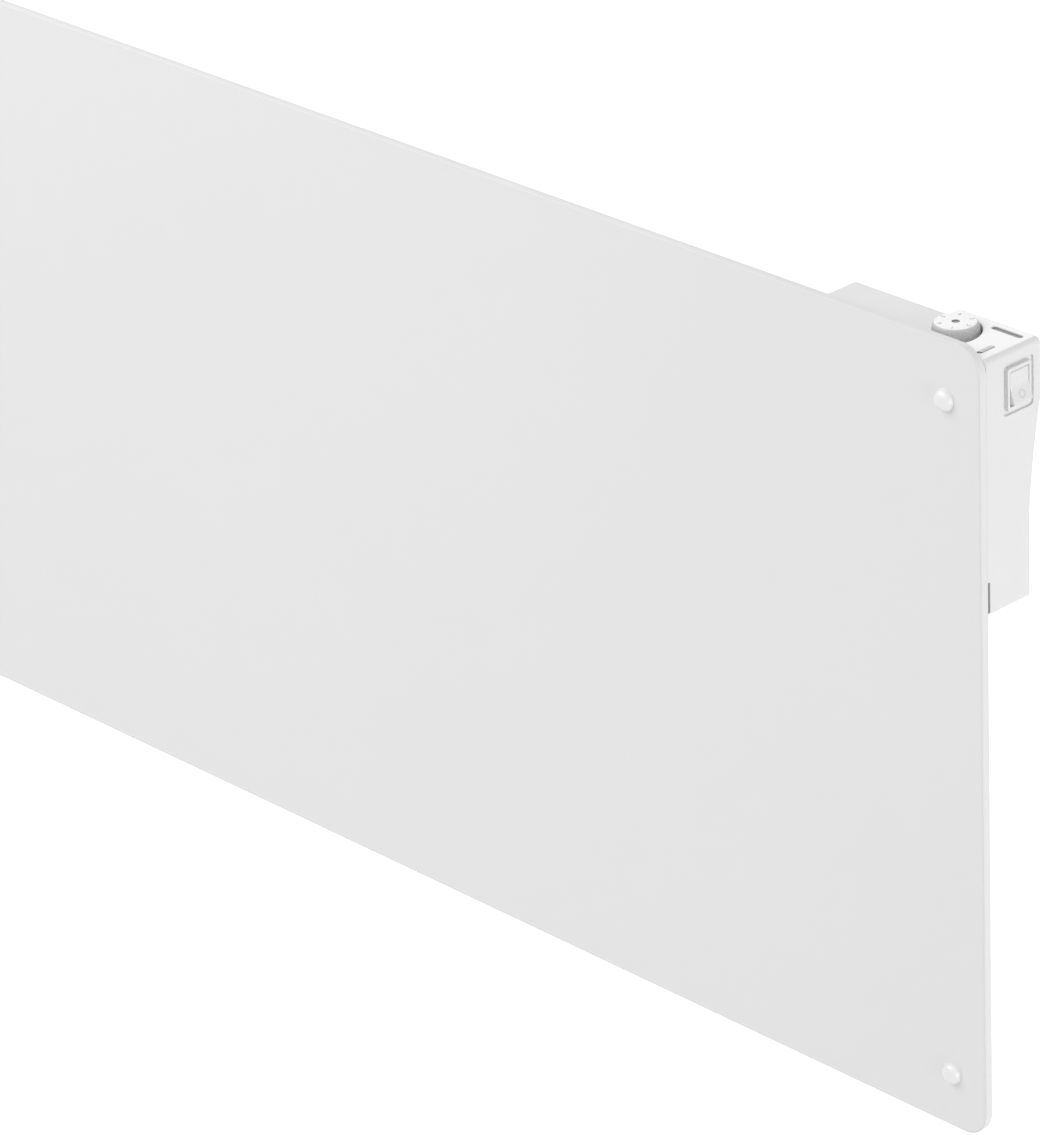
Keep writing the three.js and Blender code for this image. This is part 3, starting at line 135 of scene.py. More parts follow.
# Satin ABS of the knob, slightly whiter than the housing.
satinAbs = makeFinish("satinAbs", {
    "colour": "#fbfbfb", "shade": "#f8f8f8", "patch": 12, "grain": 0.4, "roughness": (0.28, 0.34),
    "relief": 0.01, "strength": 0.3, "sockets": {"IOR": 1.53}})
# The knob's grip ring: the same ABS moulded in grey, its grey partly painted shade on the knob's side.
greyAndShadedAbs = makeFinish("greyAndShadedAbs", {
    "colour": "#cfcfcf", "shade": "#c8c8c8", "patch": 12, "grain": 0.4, "roughness": (0.4, 0.5),
    "relief": 0.015, "strength": 0.4, "sockets": {"IOR": 1.53}})
# Polycarbonate of the switch: light grey-white with a slight gloss.
switchPolycarbonate = makeFinish("switchPolycarbonate", {
    "colour": "#eaeaea", "shade": "#e5e5e5", "patch": 10, "grain": 0.5, "roughness": (0.26, 0.34),
    "relief": 0.01, "strength": 0.3, "sockets": {"IOR": 1.58}})
# Smoked acrylic of the pilot lens: grey, clear at its surface and dark where it is thick.
smokedAcrylic = makeFinish("smokedAcrylic", {
    "colour": "#8b8b8b", "shade": "#7d7d7d", "patch": 4, "grain": 2, "roughness": (0.1, 0.16),
    "relief": 0.004, "sockets": {"IOR": 1.49, "Transmission Weight": 0.25}})
# Frosted acrylic of the same lens: pale, with a soft gloss.
frostedAcrylic = makeFinish("frostedAcrylic", {
    "colour": "#e3e3e3", "shade": "#dcdcdc", "patch": 4, "grain": 0.6, "roughness": (0.3, 0.4),
    "relief": 0.004, "sockets": {"IOR": 1.49, "Transmission Weight": 0.2}})
# Pad-printed grey ink: flat and dull on the gloss round it.
printedInk = makeFinish("printedInk", {
    "colour": "#9a9a9a", "shade": "#919191", "patch": 3, "grain": 0.2, "roughness": (0.5, 0.6),
    "relief": 0.004})
# Paler grey ink of the mark on the rocker, printed thin and slightly worn.
markInk = makeFinish("markInk", {
    "colour": "#d9d9d9", "shade": "#d3d3d3", "patch": 3, "grain": 0.2, "roughness": (0.4, 0.5),
    "relief": 0.004})
# Glass-filled nylon, moulded black: dull with a faint grain.
blackNylon = makeFinish("blackNylon", {
    "colour": "#2a2c2e", "shade": "#232527", "patch": 9, "grain": 0.4, "roughness": (0.42, 0.55),
    "relief": 0.02, "sockets": {"IOR": 1.53}})
# The same nylon in grey for the slot's liner: painted shade, standing in for the slot's dark inside.
paintedShadeNylon = makeFinish("paintedShadeNylon", {
    "colour": "#a6a6a6", "shade": "#9e9e9e", "patch": 9, "grain": 0.4, "roughness": (0.42, 0.55),
    "relief": 0.02, "sockets": {"IOR": 1.53}})
# Solder-masked glass laminate: green and glossy, with the weave of the glass cloth just showing.
maskedLaminate = makeFinish("maskedLaminate", {
    "colour": "#2f6b45", "shade": "#28603d", "patch": 5, "grain": 0.8, "roughness": (0.25, 0.4),
    "relief": 0.02})
# Silicone rubber: pale, soft and slightly waxy.
siliconeRubber = makeFinish("siliconeRubber", {
    "colour": "#dadada", "shade": "#d2d2d2", "patch": 6, "grain": 0.5, "roughness": (0.6, 0.72),
    "relief": 0.01, "sockets": {"IOR": 1.41}})
# Rolled aluminium sheet: bright grey with straight, fine rolling lines along its length.
rolledAluminium = makeFinish("rolledAluminium", {
    "colour": "#cfd1d3", "shade": "#c1c4c7", "patch": 3, "grain": 0.6, "stretch": (0.03, 1, 1),
    "roughness": (0.26, 0.38), "relief": 0.008, "sockets": {"Metallic": 1.0}})
# Etched resistance foil: dull bronze with a fine rolled texture.
etchedFoil = makeFinish("etchedFoil", {
    "colour": "#94815e", "shade": "#857250", "patch": 4, "grain": 0.6, "roughness": (0.38, 0.5),
    "relief": 0.008, "sockets": {"Metallic": 1.0}})
# Mineral wool board: yellow-buff fibres, pressed and matt, drawn a little coarser than they are.
mineralWool = makeFinish("mineralWool", {
    "colour": "#cdc199", "shade": "#b5a678", "patch": 9, "grain": 1.2, "stretch": (0.35, 1, 1),
    "roughness": (0.9, 1.0), "relief": 0.4, "strength": 0.8})
# Tinned brass of the terminals: pale yellow metal.
terminalBrass = makeFinish("terminalBrass", {
    "colour": "#c8ab63", "shade": "#b89a55", "patch": 3, "grain": 0.5, "roughness": (0.25, 0.36),
    "relief": 0.006, "sockets": {"Metallic": 1.0}})
print("finishes made")


def roundedOutline(corners, steps=8):  # corners are (u, v, radius) in order round a closed outline
    points = []
    for i, (u, v, radius) in enumerate(corners):
        here = Vector((u, v))
        if not radius:
            points.append(here)
            continue
        back = (Vector(corners[i - 1][:2]) - here).normalized()
        onward = (Vector(corners[(i + 1) % len(corners)][:2]) - here).normalized()
        half = back.angle(onward) / 2
        centre = here + (back + onward).normalized() * (radius / math.sin(half))
        spoke = here + back * (radius / math.tan(half)) - centre
        turn = math.pi - 2 * half
        if back.x * onward.y - back.y * onward.x > 0:
            turn = -turn
        for step in range(steps + 1):
            points.append(centre + Matrix.Rotation(turn * step / steps, 2) @ spoke)
    return points


def spanOf(middle, length):
    return middle - length / 2, middle + length / 2


def roundedRectangle(uSpan, vSpan, radius, steps=8):
    (u0, u1), (v0, v1) = uSpan, vSpan
    return roundedOutline([(u0, v0, radius), (u1, v0, radius), (u1, v1, radius), (u0, v1, radius)], steps)


def shrunk(outline, inset):  # an anticlockwise outline moved inwards all round
    result = []
    for i, here in enumerate(outline):
        before = (here - outline[i - 1]).normalized()
        after = (outline[(i + 1) % len(outline)] - here).normalized()
        inward = Vector((-before.y - after.y, before.x + after.x)).normalized()
        result.append(here + inward * (inset / max(0.3, inward.dot(Vector((-before.y, before.x))))))
    return result


def signedArea(outline):
    return sum(p.x * q.y - p.y * q.x for p, q in zip(outline, outline[1:] + outline[:1])) / 2


def circle(radius, u, v, sides=64):
    turns = [2 * math.pi * i / sides for i in range(sides)]
    return [Vector((u + radius * math.cos(turn), v + radius * math.sin(turn))) for turn in turns]


def quarterTurn(steps):
    return [math.pi / 2 * step / steps for step in range(steps + 1)]


def roundOver(radius, steps=4):  # (distance from the end, inset) pairs of a quarter-round edge
    return [(radius * (1 - math.cos(a)), radius * (1 - math.sin(a))) for a in quarterTurn(steps)]


def ringAt(outline, stop, axis="y"):  # an outline set across an axis
    if axis == "x":
        return [Vector((stop, p.x, p.y)) for p in outline]
    if axis == "y":
        return [Vector((p.x, stop, p.y)) for p in outline]
    return [Vector((p.x, p.y, stop)) for p in outline]


def loft(rings, ends=True, closed=False):  # skins a row of rings that have the same number of points
    count = len(rings[0])
    points = [point for ring in rings for point in ring]
    faces = []
    for row in range(len(rings) if closed else len(rings) - 1):
        here, onward = row * count, (row + 1) % len(rings) * count
        for i in range(count):
            after = (i + 1) % count
            faces.append([here + i, here + after, onward + after, onward + i])
    if ends and not closed:
        faces += [list(range(count))[::-1], list(range(len(points) - count, len(points)))]
    return points, faces


def slab(outline, span, edge=0.0, steps=3, axis="y"):  # an outline run along an axis, its edges rounded over
    low, high = span
    stations = [(0.0, 0.0)] if not edge else roundOver(edge, steps)
    stops = [(low + d, inset) for d, inset in stations] + [(high - d, inset) for d, inset in stations[::-1]]
    return loft([ringAt(shrunk(outline, inset) if inset > 1e-9 else outline, stop, axis)
                 for stop, inset in stops])


def lathe(profile, sides=64):  # a profile of (radius, height) turned about z; it closes on itself
    return loft([ringAt(circle(radius, 0, 0, sides), height, "z") for radius, height in profile], closed=True)


def joined(*shapes):
    points, faces = [], []
    for shapePoints, shapeFaces in shapes:
        faces += [[i + len(points) for i in face] for face in shapeFaces]
        points += shapePoints
    return points, faces


def moved(shape, offset=(0, 0, 0), turn=None):
    points, faces = shape
    return [(turn @ p if turn else p) + Vector(offset) for p in points], faces


def meshObject(name, shape, place=(0, 0, 0), turnOut=True):
    mesh = bpy.data.meshes.new(name)
    mesh.from_pydata([(p + Vector(place)) * mm for p in shape[0]], [], shape[1])
    build = bmesh.new()
    build.from_mesh(mesh)
    bmesh.ops.remove_doubles(build, verts=build.verts, dist=1e-7)
    if turnOut:
        bmesh.ops.recalc_face_normals(build, faces=build.faces)
    build.to_mesh(mesh)
    build.free()
    thing = bpy.data.objects.new(name, mesh)
    bpy.context.scene.collection.objects.link(thing)
    return thing


def settle(thing):  # what the modifiers make becomes the plain mesh
    bpy.context.view_layer.update()
    finished = bpy.data.meshes.new_from_object(thing.evaluated_get(bpy.context.evaluated_depsgraph_get()))
    thing.modifiers.clear()
    thing.data = finished
    return thing


def carve(thing, cutters, operation="DIFFERENCE"):
    for cutter in cutters:
        step = thing.modifiers.new("carve", "BOOLEAN")
        step.object = cutter
        step.operation = operation
        step.solver = "EXACT"
    settle(thing)
    for cutter in cutters:
        bpy.data.objects.remove(cutter)
    return thing


def polish(thing, angle=32):  # smooth shading that keeps flat faces flat and real edges crisp
    thing.data.shade_smooth()
    thing.data.set_sharp_from_angle(angle=math.radians(angle))
    weigh = thing.modifiers.new("weigh", "WEIGHTED_NORMAL")
    weigh.keep_sharp = True
    return settle(thing)


def dress(thing, materials, body, replaced=()):
    thing.data.materials.clear()
    for material in materials if isinstance(materials, list) else [materials]:
        thing.data.materials.append(material)
    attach(thing, body)
    if replaced:
        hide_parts(*replaced)
    return thing


def growTree(name, inputs):  # a Geometry Nodes tree with named inputs, and how to set them
    tree = bpy.data.node_groups.new(name, "GeometryNodeTree")
    sockets = {}
    for title, (kind, value) in inputs.items():
        socket = tree.interface.new_socket(name=title, in_out="INPUT", socket_type=kind)
        if value is not None:
            socket.default_value = value
        sockets[title] = socket.identifier
    tree.interface.new_socket(name="Geometry", in_out="OUTPUT", socket_type="NodeSocketGeometry")
    return tree, addNode(tree, "NodeGroupInput").outputs, sockets


def growPiece(name, tree, sockets, values):  # the tree's result with these inputs, as a plain mesh
    thing = bpy.data.objects.new(name, bpy.data.meshes.new(name))
    bpy.context.scene.collection.objects.link(thing)
    grow = thing.modifiers.new("grow", "NODES")
    grow.node_group = tree
    for title, value in values.items():
        grow[sockets[title]] = value
    return settle(thing)


# The front glass. Its rear edge is left nearly sharp, because the housing closes on it.
glass = {"thickness": 4.0, "corner": 12.5, "edge": 0.7, "rearEdge": 0.06}


def makeGlass():
    outline = roundedRectangle(spanOf(0, panelWidth), (0, panelHeight), glass["corner"], 20)
    stops = [(-glass["thickness"] + d, inset) for d, inset in roundOver(glass["edge"], 5)]
    stops += [(-d, inset) for d, inset in roundOver(glass["rearEdge"], 2)[::-1]]
    rings = [ringAt(shrunk(outline, inset), y) for y, inset in stops]
    return meshObject("glassPanel", loft(rings), heaterPlace)


def glassFinish(normal):  # the flat front, the arris at the sides and below, darker partly as painted shade, and the ground rest
    if normal.y < -0.99:
        return 0
    return 2 if normal.y < -0.1 and normal.z < 0.3 else 1


glassPanel = dress(polish(makeGlass()), [enamelledGlass, groundGlass, glassArrisAndShade],
                   "heater", ["front_glass"])
for face in glassPanel.data.polygons:
    face.material_index = glassFinish(face.normal)
print("front glass made")


# Domed fasteners: the glass's corner screws, and the rivets and lock pivots of the bracket.
cornerScrews = {"insetX": 19.2, "insetZ": 26.4,
                "head": 4.9, "rim": 0.7, "dome": 2.7, "shank": 2.5, "tail": 14.0}
bracketRivets = {"offset": 240.0, "spacing": 210.0, "front": -3.6,
                 "head": 4.5, "rim": 0.5, "dome": 1.3, "shank": 2.5, "tail": 3.3}
lockPivots = {"offset": 150.0, "height": -214.0, "front": -25.1,
              "head": 4.5, "rim": 0.5, "dome": 1.3, "shank": 2.5, "tail": 5.1}


def fastenerTree():
    tree, given, sockets = growTree("domedFasteners", {
        "Columns": ("NodeSocketInt", 2), "Rows": ("NodeSocketInt", 2),
        "Width": ("NodeSocketFloat", 1.0), "Height": ("NodeSocketFloat", 1.0),
        "Place": ("NodeSocketVector", (0, 0, 0)), "Head": ("NodeSocketFloat", 0.005),
        "Rim": ("NodeSocketFloat", 0.001), "Dome": ("NodeSocketFloat", 0.002),
        "Shank": ("NodeSocketFloat", 0.002), "Tail": ("NodeSocketFloat", 0.01),
        "Material": ("NodeSocketMaterial", None)})
    spots = addNode(tree, "GeometryNodeMeshGrid", {}, {
        "Size X": given["Width"], "Size Y": given["Height"],
        "Vertices X": given["Columns"], "Vertices Y": given["Rows"]})
    head = addNode(tree, "GeometryNodeMeshCylinder", {"fill_type": "TRIANGLE_FAN"}, {
        "Vertices": 48, "Fill Segments": 9, "Radius": given["Head"], "Depth": given["Rim"]})
    position = addNode(tree, "GeometryNodeInputPosition")
    spot = addNode(tree, "ShaderNodeSeparateXYZ", {}, {0: position.outputs[0]})
    flat = addNode(tree, "ShaderNodeCombineXYZ", {}, {0: spot.outputs[0], 1: spot.outputs[1]})
    far = addNode(tree, "ShaderNodeVectorMath", {"operation": "LENGTH"}, {0: flat.outputs[0]})
    # a head's top rises as half an ellipse over its radius
    share = addNode(tree, "ShaderNodeMath", {"operation": "DIVIDE"}, {
        0: far.outputs["Value"], 1: given["Head"]})
    square = addNode(tree, "ShaderNodeMath", {"operation": "POWER"}, {0: share.outputs[0], 1: 2.0})
    left = addNode(tree, "ShaderNodeMath", {"operation": "SUBTRACT", "use_clamp": True}, {
        0: 1.0, 1: square.outputs[0]})
    curve = addNode(tree, "ShaderNodeMath", {"operation": "SQRT"}, {0: left.outputs[0]})
    rise = addNode(tree, "ShaderNodeMath", {"operation": "MULTIPLY"}, {0: curve.outputs[0], 1: given["Dome"]})
    lift = addNode(tree, "ShaderNodeCombineXYZ", {}, {2: rise.outputs[0]})
    upper = addNode(tree, "ShaderNodeMath", {"operation": "GREATER_THAN"}, {0: spot.outputs[2], 1: 0.0})
    domed = addNode(tree, "GeometryNodeSetPosition", {}, {
        "Geometry": head.outputs["Mesh"], "Selection": upper.outputs[0], "Offset": lift.outputs[0]})
    shank = addNode(tree, "GeometryNodeMeshCylinder", {}, {
        "Vertices": 32, "Radius": given["Shank"], "Depth": given["Tail"]})
    half = addNode(tree, "ShaderNodeMath", {"operation": "ADD"}, {0: given["Rim"], 1: given["Tail"]})
    down = addNode(tree, "ShaderNodeMath", {"operation": "MULTIPLY"}, {0: half.outputs[0], 1: -0.5})
    below = addNode(tree, "ShaderNodeCombineXYZ", {}, {2: down.outputs[0]})
    lowered = addNode(tree, "GeometryNodeTransform", {}, {
        "Geometry": shank.outputs["Mesh"], "Translation": below.outputs[0]})
    whole = addNode(tree, "GeometryNodeJoinGeometry")
    tree.links.new(domed.outputs[0], whole.inputs[0])
    tree.links.new(lowered.outputs[0], whole.inputs[0])
    copies = addNode(tree, "GeometryNodeInstanceOnPoints", {}, {
        "Points": spots.outputs["Mesh"], "Instance": whole.outputs[0]})
    real = addNode(tree, "GeometryNodeRealizeInstances", {}, {"Geometry": copies.outputs[0]})
    upright = addNode(tree, "GeometryNodeTransform", {}, {
        "Geometry": real.outputs[0], "Translation": given["Place"], "Rotation": (math.pi / 2, 0, 0)})
    coloured = addNode(tree, "GeometryNodeSetMaterial", {}, {
        "Geometry": upright.outputs[0], "Material": given["Material"]})
    addNode(tree, "NodeGroupOutput", {}, {0: coloured.outputs[0]})
    return tree, sockets


domedTree, domedSockets = fastenerTree()


def makeFasteners(name, sizes, columns, rows, width, height, place, material):
    lengths = {title: sizes[title.lower()] * mm for title in ("Head", "Rim", "Dome", "Shank", "Tail")}
    return polish(growPiece(name, domedTree, domedSockets, lengths | {
        "Columns": columns, "Rows": rows, "Width": width * mm, "Height": height * mm,
        "Place": [c * mm for c in place], "Material": material}))


screwFace = heaterPlace.y - glass["thickness"] - cornerScrews["rim"] / 2
screws = makeFasteners(
    "cornerScrews", cornerScrews, 2, 2,
    panelWidth - 2 * cornerScrews["insetX"], panelHeight - 2 * cornerScrews["insetZ"],
    (0, screwFace, heaterPlace.z + panelHeight / 2), lacqueredSteel)
glassCorners = ("bottom_left", "bottom_right", "top_left", "top_right")
dress(screws, lacqueredSteel, "heater", ["corner_screw_" + corner for corner in glassCorners])

rivets = makeFasteners(
    "bracketRivets", bracketRivets, 2, 2, 2 * bracketRivets["offset"], bracketRivets["spacing"],
    (0, bracketRivets["front"] - bracketRivets["rim"] / 2, -bracketRivets["spacing"] / 2), zincSteel)
dress(rivets, zincSteel, "wall_bracket",
      ["bracket_rivet_" + spot for spot in ("upper_left", "upper_right", "lower_left", "lower_right")])

pivots = makeFasteners(
    "lockPivots", lockPivots, 2, 1, 2 * lockPivots["offset"], 0,
    (0, lockPivots["front"] - lockPivots["rim"] / 2, lockPivots["height"]), zincSteel)
dress(pivots, zincSteel, "wall_bracket", ["lock_pivot_left", "lock_pivot_right"])
print("screws, rivets and pivots made")


# The control housing. Insets run leftwards from the glass's right edge, depths from its rear face.
housing = {
    "width": 104.0, "bottom": 249.4, "top": 361.0, "plateau": 365.2, "plateauLength": 45.0, "front": 0.02,
    "depthBottom": 27.0, "depthTop": 34.0, "swellStart": 284.0, "swellEnd": 338.0, "wall": 2.5,
    "edge": 2.5, "backCorner": 3.3, "lowCorner": 0.8, "hollowLeft": -17.6, "lip": 0.45,
    "knobInset": 31.5, "knobDepth": 16.4, "shaftHole": 3.8, "well": 15.8, "wellX": -34.0, "wellDepth": 12.0,
    "swellLow": (0.6, 0.39), "swellHigh": (1.3, 0.13),  # the swell curve's handles: depth, share of its height
}
flangeRoom = {"side": 11.7, "depth": 4.3, "top": 358.3}  # what the tray's flange takes out of the housing
leadHole = {"radius": 5.8, "depth": 12.0, "height": 270.0}
airSlot = {"inset": 4.6, "length": 16.4, "width": 3.0, "depth": 27.0, "lip": 0.3}
pilotLens = {"inset": 7.6, "depth": 8.3, "length": 9.0, "width": 2.0, "proud": 0.3, "darkLength": 4.0,
             "gap": 0.2, "lip": 0.15, "edge": 0.3, "stem": 3.4, "flangeWider": 1.2, "flangeLonger": 0.6,
             "flangeCorner": 0.4, "flangeTop": 2.8, "flangeBottom": 4.0}
pryNotch = {"bottom": 251.2, "height": 14.0, "depth": 1.3}
gland = {"inset": 70.0, "depth": 13.5, "hole": 6.3}
rockerSwitch = {
    "depth": 19.3, "height": 347.8, "bezel": (14.4, 19.2), "bezelCorner": 1.2, "proud": 0.9, "edge": 0.4,
    "pocket": (18.4, 23.0), "pocketCorner": 2.2, "pocketDepth": 1.2,
    "body": (13.0, 18.0), "bodyCorner": 0.4, "bodyLength": 14.0, "gap": 0.3,
    "window": (11.6, 15.6), "windowCorner": 0.6, "windowEdge": 0.3, "well": 8.0,
    "rocker": (11.2, 14.6), "rockerEdge": 0.5, "face": 2.0, "bend": 9.0, "tip": 0.7,
    "tilt": 10.0, "belly": 4.6, "axis": -1.2,
}


def housingOutline(top, inset):  # the side view, anticlockwise, less an inset, open towards the glass
    start = Vector((housing["depthBottom"] - inset, housing["swellStart"]))
    end = Vector((housing["depthTop"] - inset, housing["swellEnd"]))
    rise = end.y - start.y
    a = start + Vector((housing["swellLow"][0], housing["swellLow"][1] * rise))
    b = end - Vector((housing["swellHigh"][0], housing["swellHigh"][1] * rise))
    swell, steps = [], 24
    for step in range(1, steps):
        t = step / steps
        swell.append(start * (1 - t) ** 3 + a * 3 * t * (1 - t) ** 2 + b * 3 * t * t * (1 - t) + end * t ** 3)
    front, low, high = housing["front"], housing["bottom"] + inset, top - inset
    lowCorner = roundedOutline([
        (front, low, 0), (start.x, low, max(housing["lowCorner"] - inset, 0.05)), (start.x, start.y, 0)], 3)
    highCorner = roundedOutline([
        (end.x, end.y, 0), (end.x, high, housing["backCorner"] - inset), (front, high, 0)], 10)
    return lowCorner + swell + highCorner


def housingShell(wall):  # the outer form, or at a wall's thickness inside it the hollow
    low, high = -housing["width"] + wall, -wall
    radius = max(housing["edge"] - wall, 0.6)
    step = housing["hollowLeft"] if wall else -housing["plateauLength"]
    rings = []
    for distance, inset in roundOver(radius, 6):
        rings.append((low + distance, housing["top"], wall + inset))
    rise = housing["plateau"] - housing["top"]
    for distance, drop in roundOver(min(radius, rise - 0.1), 6):
        if distance == 0:
            rings.append((step, housing["top"], wall))
        rings.append((step + distance, housing["plateau"] - drop, wall))
    for distance, inset in roundOver(radius, 6)[::-1]:
        rings.append((high - distance, housing["plateau"], wall + inset))
    return loft([ringAt(housingOutline(top, inset), x, "x") for x, top, inset in rings])


def lipped(outline, floor, top, lip):  # a cutter that flares at the top, so that the edge it cuts is rounded
    stations = [(floor, 0.0)]
    stations += [(top - lip + lip * math.sin(a), -lip * (1 - math.cos(a))) for a in quarterTurn(4)]
    stations.append((top + 3, stations[-1][1]))
    return loft([ringAt(shrunk(outline, inset), z, "z") for z, inset in stations])


def box(xSpan, ySpan, zSpan):
    return slab([Vector((xSpan[0], zSpan[0])), Vector((xSpan[1], zSpan[0])),
                 Vector((xSpan[1], zSpan[1])), Vector((xSpan[0], zSpan[1]))], ySpan)


def makeHollow():  # it keeps clear of the wall round the knob's recess
    wall = housing["wall"]
    points, faces = housingShell(wall)
    openFront = housing["front"] + 1e-6
    points = [Vector((p.x, -6.0 if p.y < openFront else p.y, p.z)) for p in points]
    around = slab(circle(housing["well"] + wall, housing["wellX"], housing["wellDepth"], 96),
                  (housing["top"] - wall, housing["plateau"] + 9), axis="z")
    return carve(meshObject("cutter", (points, faces), unitPlace), [meshObject("around", around, unitPlace)])


def makeHousing():
    shell = meshObject("controlHousing", housingShell(0), unitPlace)
    top, floor, through = housing["plateau"], housing["plateau"] - 2 * housing["wall"], 5.0
    slot = roundedRectangle((-airSlot["inset"] - airSlot["length"], -airSlot["inset"]),
                            spanOf(airSlot["depth"], airSlot["width"]), airSlot["width"] / 2 - 0.01, 6)
    lensHole = roundedRectangle(spanOf(-pilotLens["inset"], pilotLens["width"] + 2 * pilotLens["gap"]),
                                spanOf(pilotLens["depth"], pilotLens["length"] + 2 * pilotLens["gap"]),
                                pilotLens["width"] / 2, 6)
    bodyY, bodyZ = [size + 2 * rockerSwitch["gap"] for size in rockerSwitch["body"]]
    pocketY, pocketZ = rockerSwitch["pocket"]
    pocket = roundedRectangle(spanOf(0, pocketY), spanOf(0, pocketZ), rockerSwitch["pocketCorner"])
    cutters = [
        box((-2 * housing["width"], -flangeRoom["side"]), (-6, flangeRoom["depth"]), (0, flangeRoom["top"])),
        lipped(circle(housing["well"], housing["wellX"], housing["wellDepth"], 96),
               housing["top"] + 0.02, top, housing["lip"]),
        slab(circle(housing["shaftHole"], -housing["knobInset"], housing["knobDepth"]),
             (housing["top"] - 6, top), axis="z"),
        moved(slab(pocket, (-rockerSwitch["pocketDepth"], through), axis="x"),
              (0, rockerSwitch["depth"], rockerSwitch["height"])),
        lipped(slot, floor, top, airSlot["lip"]),
        lipped(lensHole, floor, top, pilotLens["lip"]),
        box((-through, through), spanOf(rockerSwitch["depth"], bodyY), spanOf(rockerSwitch["height"], bodyZ)),
        box((-through, through), (-1, housing["front"] + pryNotch["depth"]),
            (pryNotch["bottom"], pryNotch["bottom"] + pryNotch["height"])),
        slab(circle(gland["hole"], -gland["inset"], gland["depth"]),
             (housing["bottom"] - 1, housing["bottom"] + through), axis="z"),
        slab(circle(leadHole["radius"], leadHole["depth"], leadHole["height"]),
             (-housing["width"] - 1, -housing["width"] + through), axis="x"),
    ]
    carve(shell, [makeHollow()] + [meshObject("cutter", cutter, unitPlace) for cutter in cutters])
    dress(polish(shell), [grainedAbs, polishedAbsPaintedLight], "heater", ["control_housing"])
    raised = unitPlace.z + housing["top"] + 0.5
    for face in shell.data.polygons:  # only the flat of the raised top is polished and painted brighter, as painted light
        face.material_index = 1 if face.center.z / mm > raised and face.normal.z > 0.95 else 0
    return shell


controlHousing = makeHousing()
print("control housing made:", len(controlHousing.data.polygons), "faces")


slotLiner = {"top": -0.35, "screen": -1.1, "bottom": -2.3, "plate": 0.3,
             "gap": 0.04, "corner": 1.4, "wall": 0.35}


def makeSlotLiner():  # a grey sleeve in the air slot, with a plate across it; its grey is painted shade in the slot
    outer = roundedRectangle(spanOf(0, airSlot["length"] - 2 * slotLiner["gap"]),
                             spanOf(0, airSlot["width"] - 2 * slotLiner["gap"]), slotLiner["corner"], 8)
    inner = shrunk(outer, slotLiner["wall"])
    middle = [p * 0.02 for p in inner]
    top, bottom, screen = slotLiner["top"], slotLiner["bottom"], slotLiner["screen"]
    levels = [(bottom, outer), (top, outer), (top, inner), (screen + slotLiner["plate"], inner),
              (screen + slotLiner["plate"], middle), (screen, middle), (screen, inner), (bottom, inner)]
    sleeve = loft([ringAt(flat, z, "z") for z, flat in levels], closed=True)
    return meshObject("slotLiner", sleeve, unitPlace + Vector((
        -airSlot["inset"] - airSlot["length"] / 2, airSlot["depth"], housing["plateau"])))


dress(polish(makeSlotLiner()), paintedShadeNylon, "heater")
print("slot liner made")


def makeLens():
    wide, long, top = pilotLens["width"], pilotLens["length"], housing["plateau"]
    outline = roundedRectangle(spanOf(0, wide), spanOf(0, long), wide / 2 - 0.01, 8)
    below = roundedRectangle(spanOf(0, wide + 2 * pilotLens["flangeWider"]),
                             spanOf(0, long + 2 * pilotLens["flangeLonger"]), pilotLens["flangeCorner"], 3)
    stem = slab(outline, (top - pilotLens["stem"], top + pilotLens["proud"]), pilotLens["edge"], 3, axis="z")
    flange = slab(below, (top - pilotLens["flangeBottom"], top - pilotLens["flangeTop"]), axis="z")
    return meshObject("pilotLens", joined(stem, flange),
                      unitPlace + Vector((-pilotLens["inset"], pilotLens["depth"], 0)))


lens = dress(polish(makeLens()), [frostedAcrylic, smokedAcrylic], "heater", ["pilot_lens"])
darkEnd = unitPlace.y + pilotLens["depth"] - pilotLens["length"] / 2 + pilotLens["darkLength"]
for face in lens.data.polygons:
    face.material_index = 1 if face.center.y / mm < darkEnd else 0
print("pilot lens made")


# The setting knob. Heights are measured from its own base.
knob = {"base": 10.3, "top": 9.4, "height": 6.3, "floorGap": 1.0, "edge": 1.0, "dot": 1.7, "dotDepth": 0.5,
        "chamfer": 0.3, "recess": 7.2, "recessDepth": 2.6, "bore": 2.3, "boreTop": 4.8,
        "ribs": 60, "ribRadius": 0.26, "ribLow": 0.7, "ribShort": 0.5, "greyBelow": 0.2,
        "numerals": 6, "numeralSize": 2.9, "numeralRadius": 6.9, "ink": 0.015,
        "firstAngle": -60.0, "sweep": 300.0}
knobPlace = unitPlace + Vector((
    -housing["knobInset"], housing["knobDepth"], housing["top"] + knob["floorGap"]))


def makeKnobBody():
    edge, chamfer = knob["edge"], knob["chamfer"]
    shoulder = [(knob["top"] - edge + edge * math.cos(a), knob["height"] - edge + edge * math.sin(a))
                for a in quarterTurn(6)]
    profile = [(knob["recess"], chamfer / 2), (knob["base"] - chamfer, 0), (knob["base"], chamfer), *shoulder,
               (knob["dot"] + chamfer / 2, knob["height"]), (knob["dot"], knob["height"] - chamfer / 2),
               (knob["dot"], knob["height"] - knob["dotDepth"]), (0, knob["height"] - knob["dotDepth"]),
               (0, knob["boreTop"]), (knob["bore"], knob["boreTop"]), (knob["bore"], knob["recessDepth"]),
               (knob["recess"], knob["recessDepth"])]
    return polish(meshObject("settingKnob", lathe(profile, 96), knobPlace))


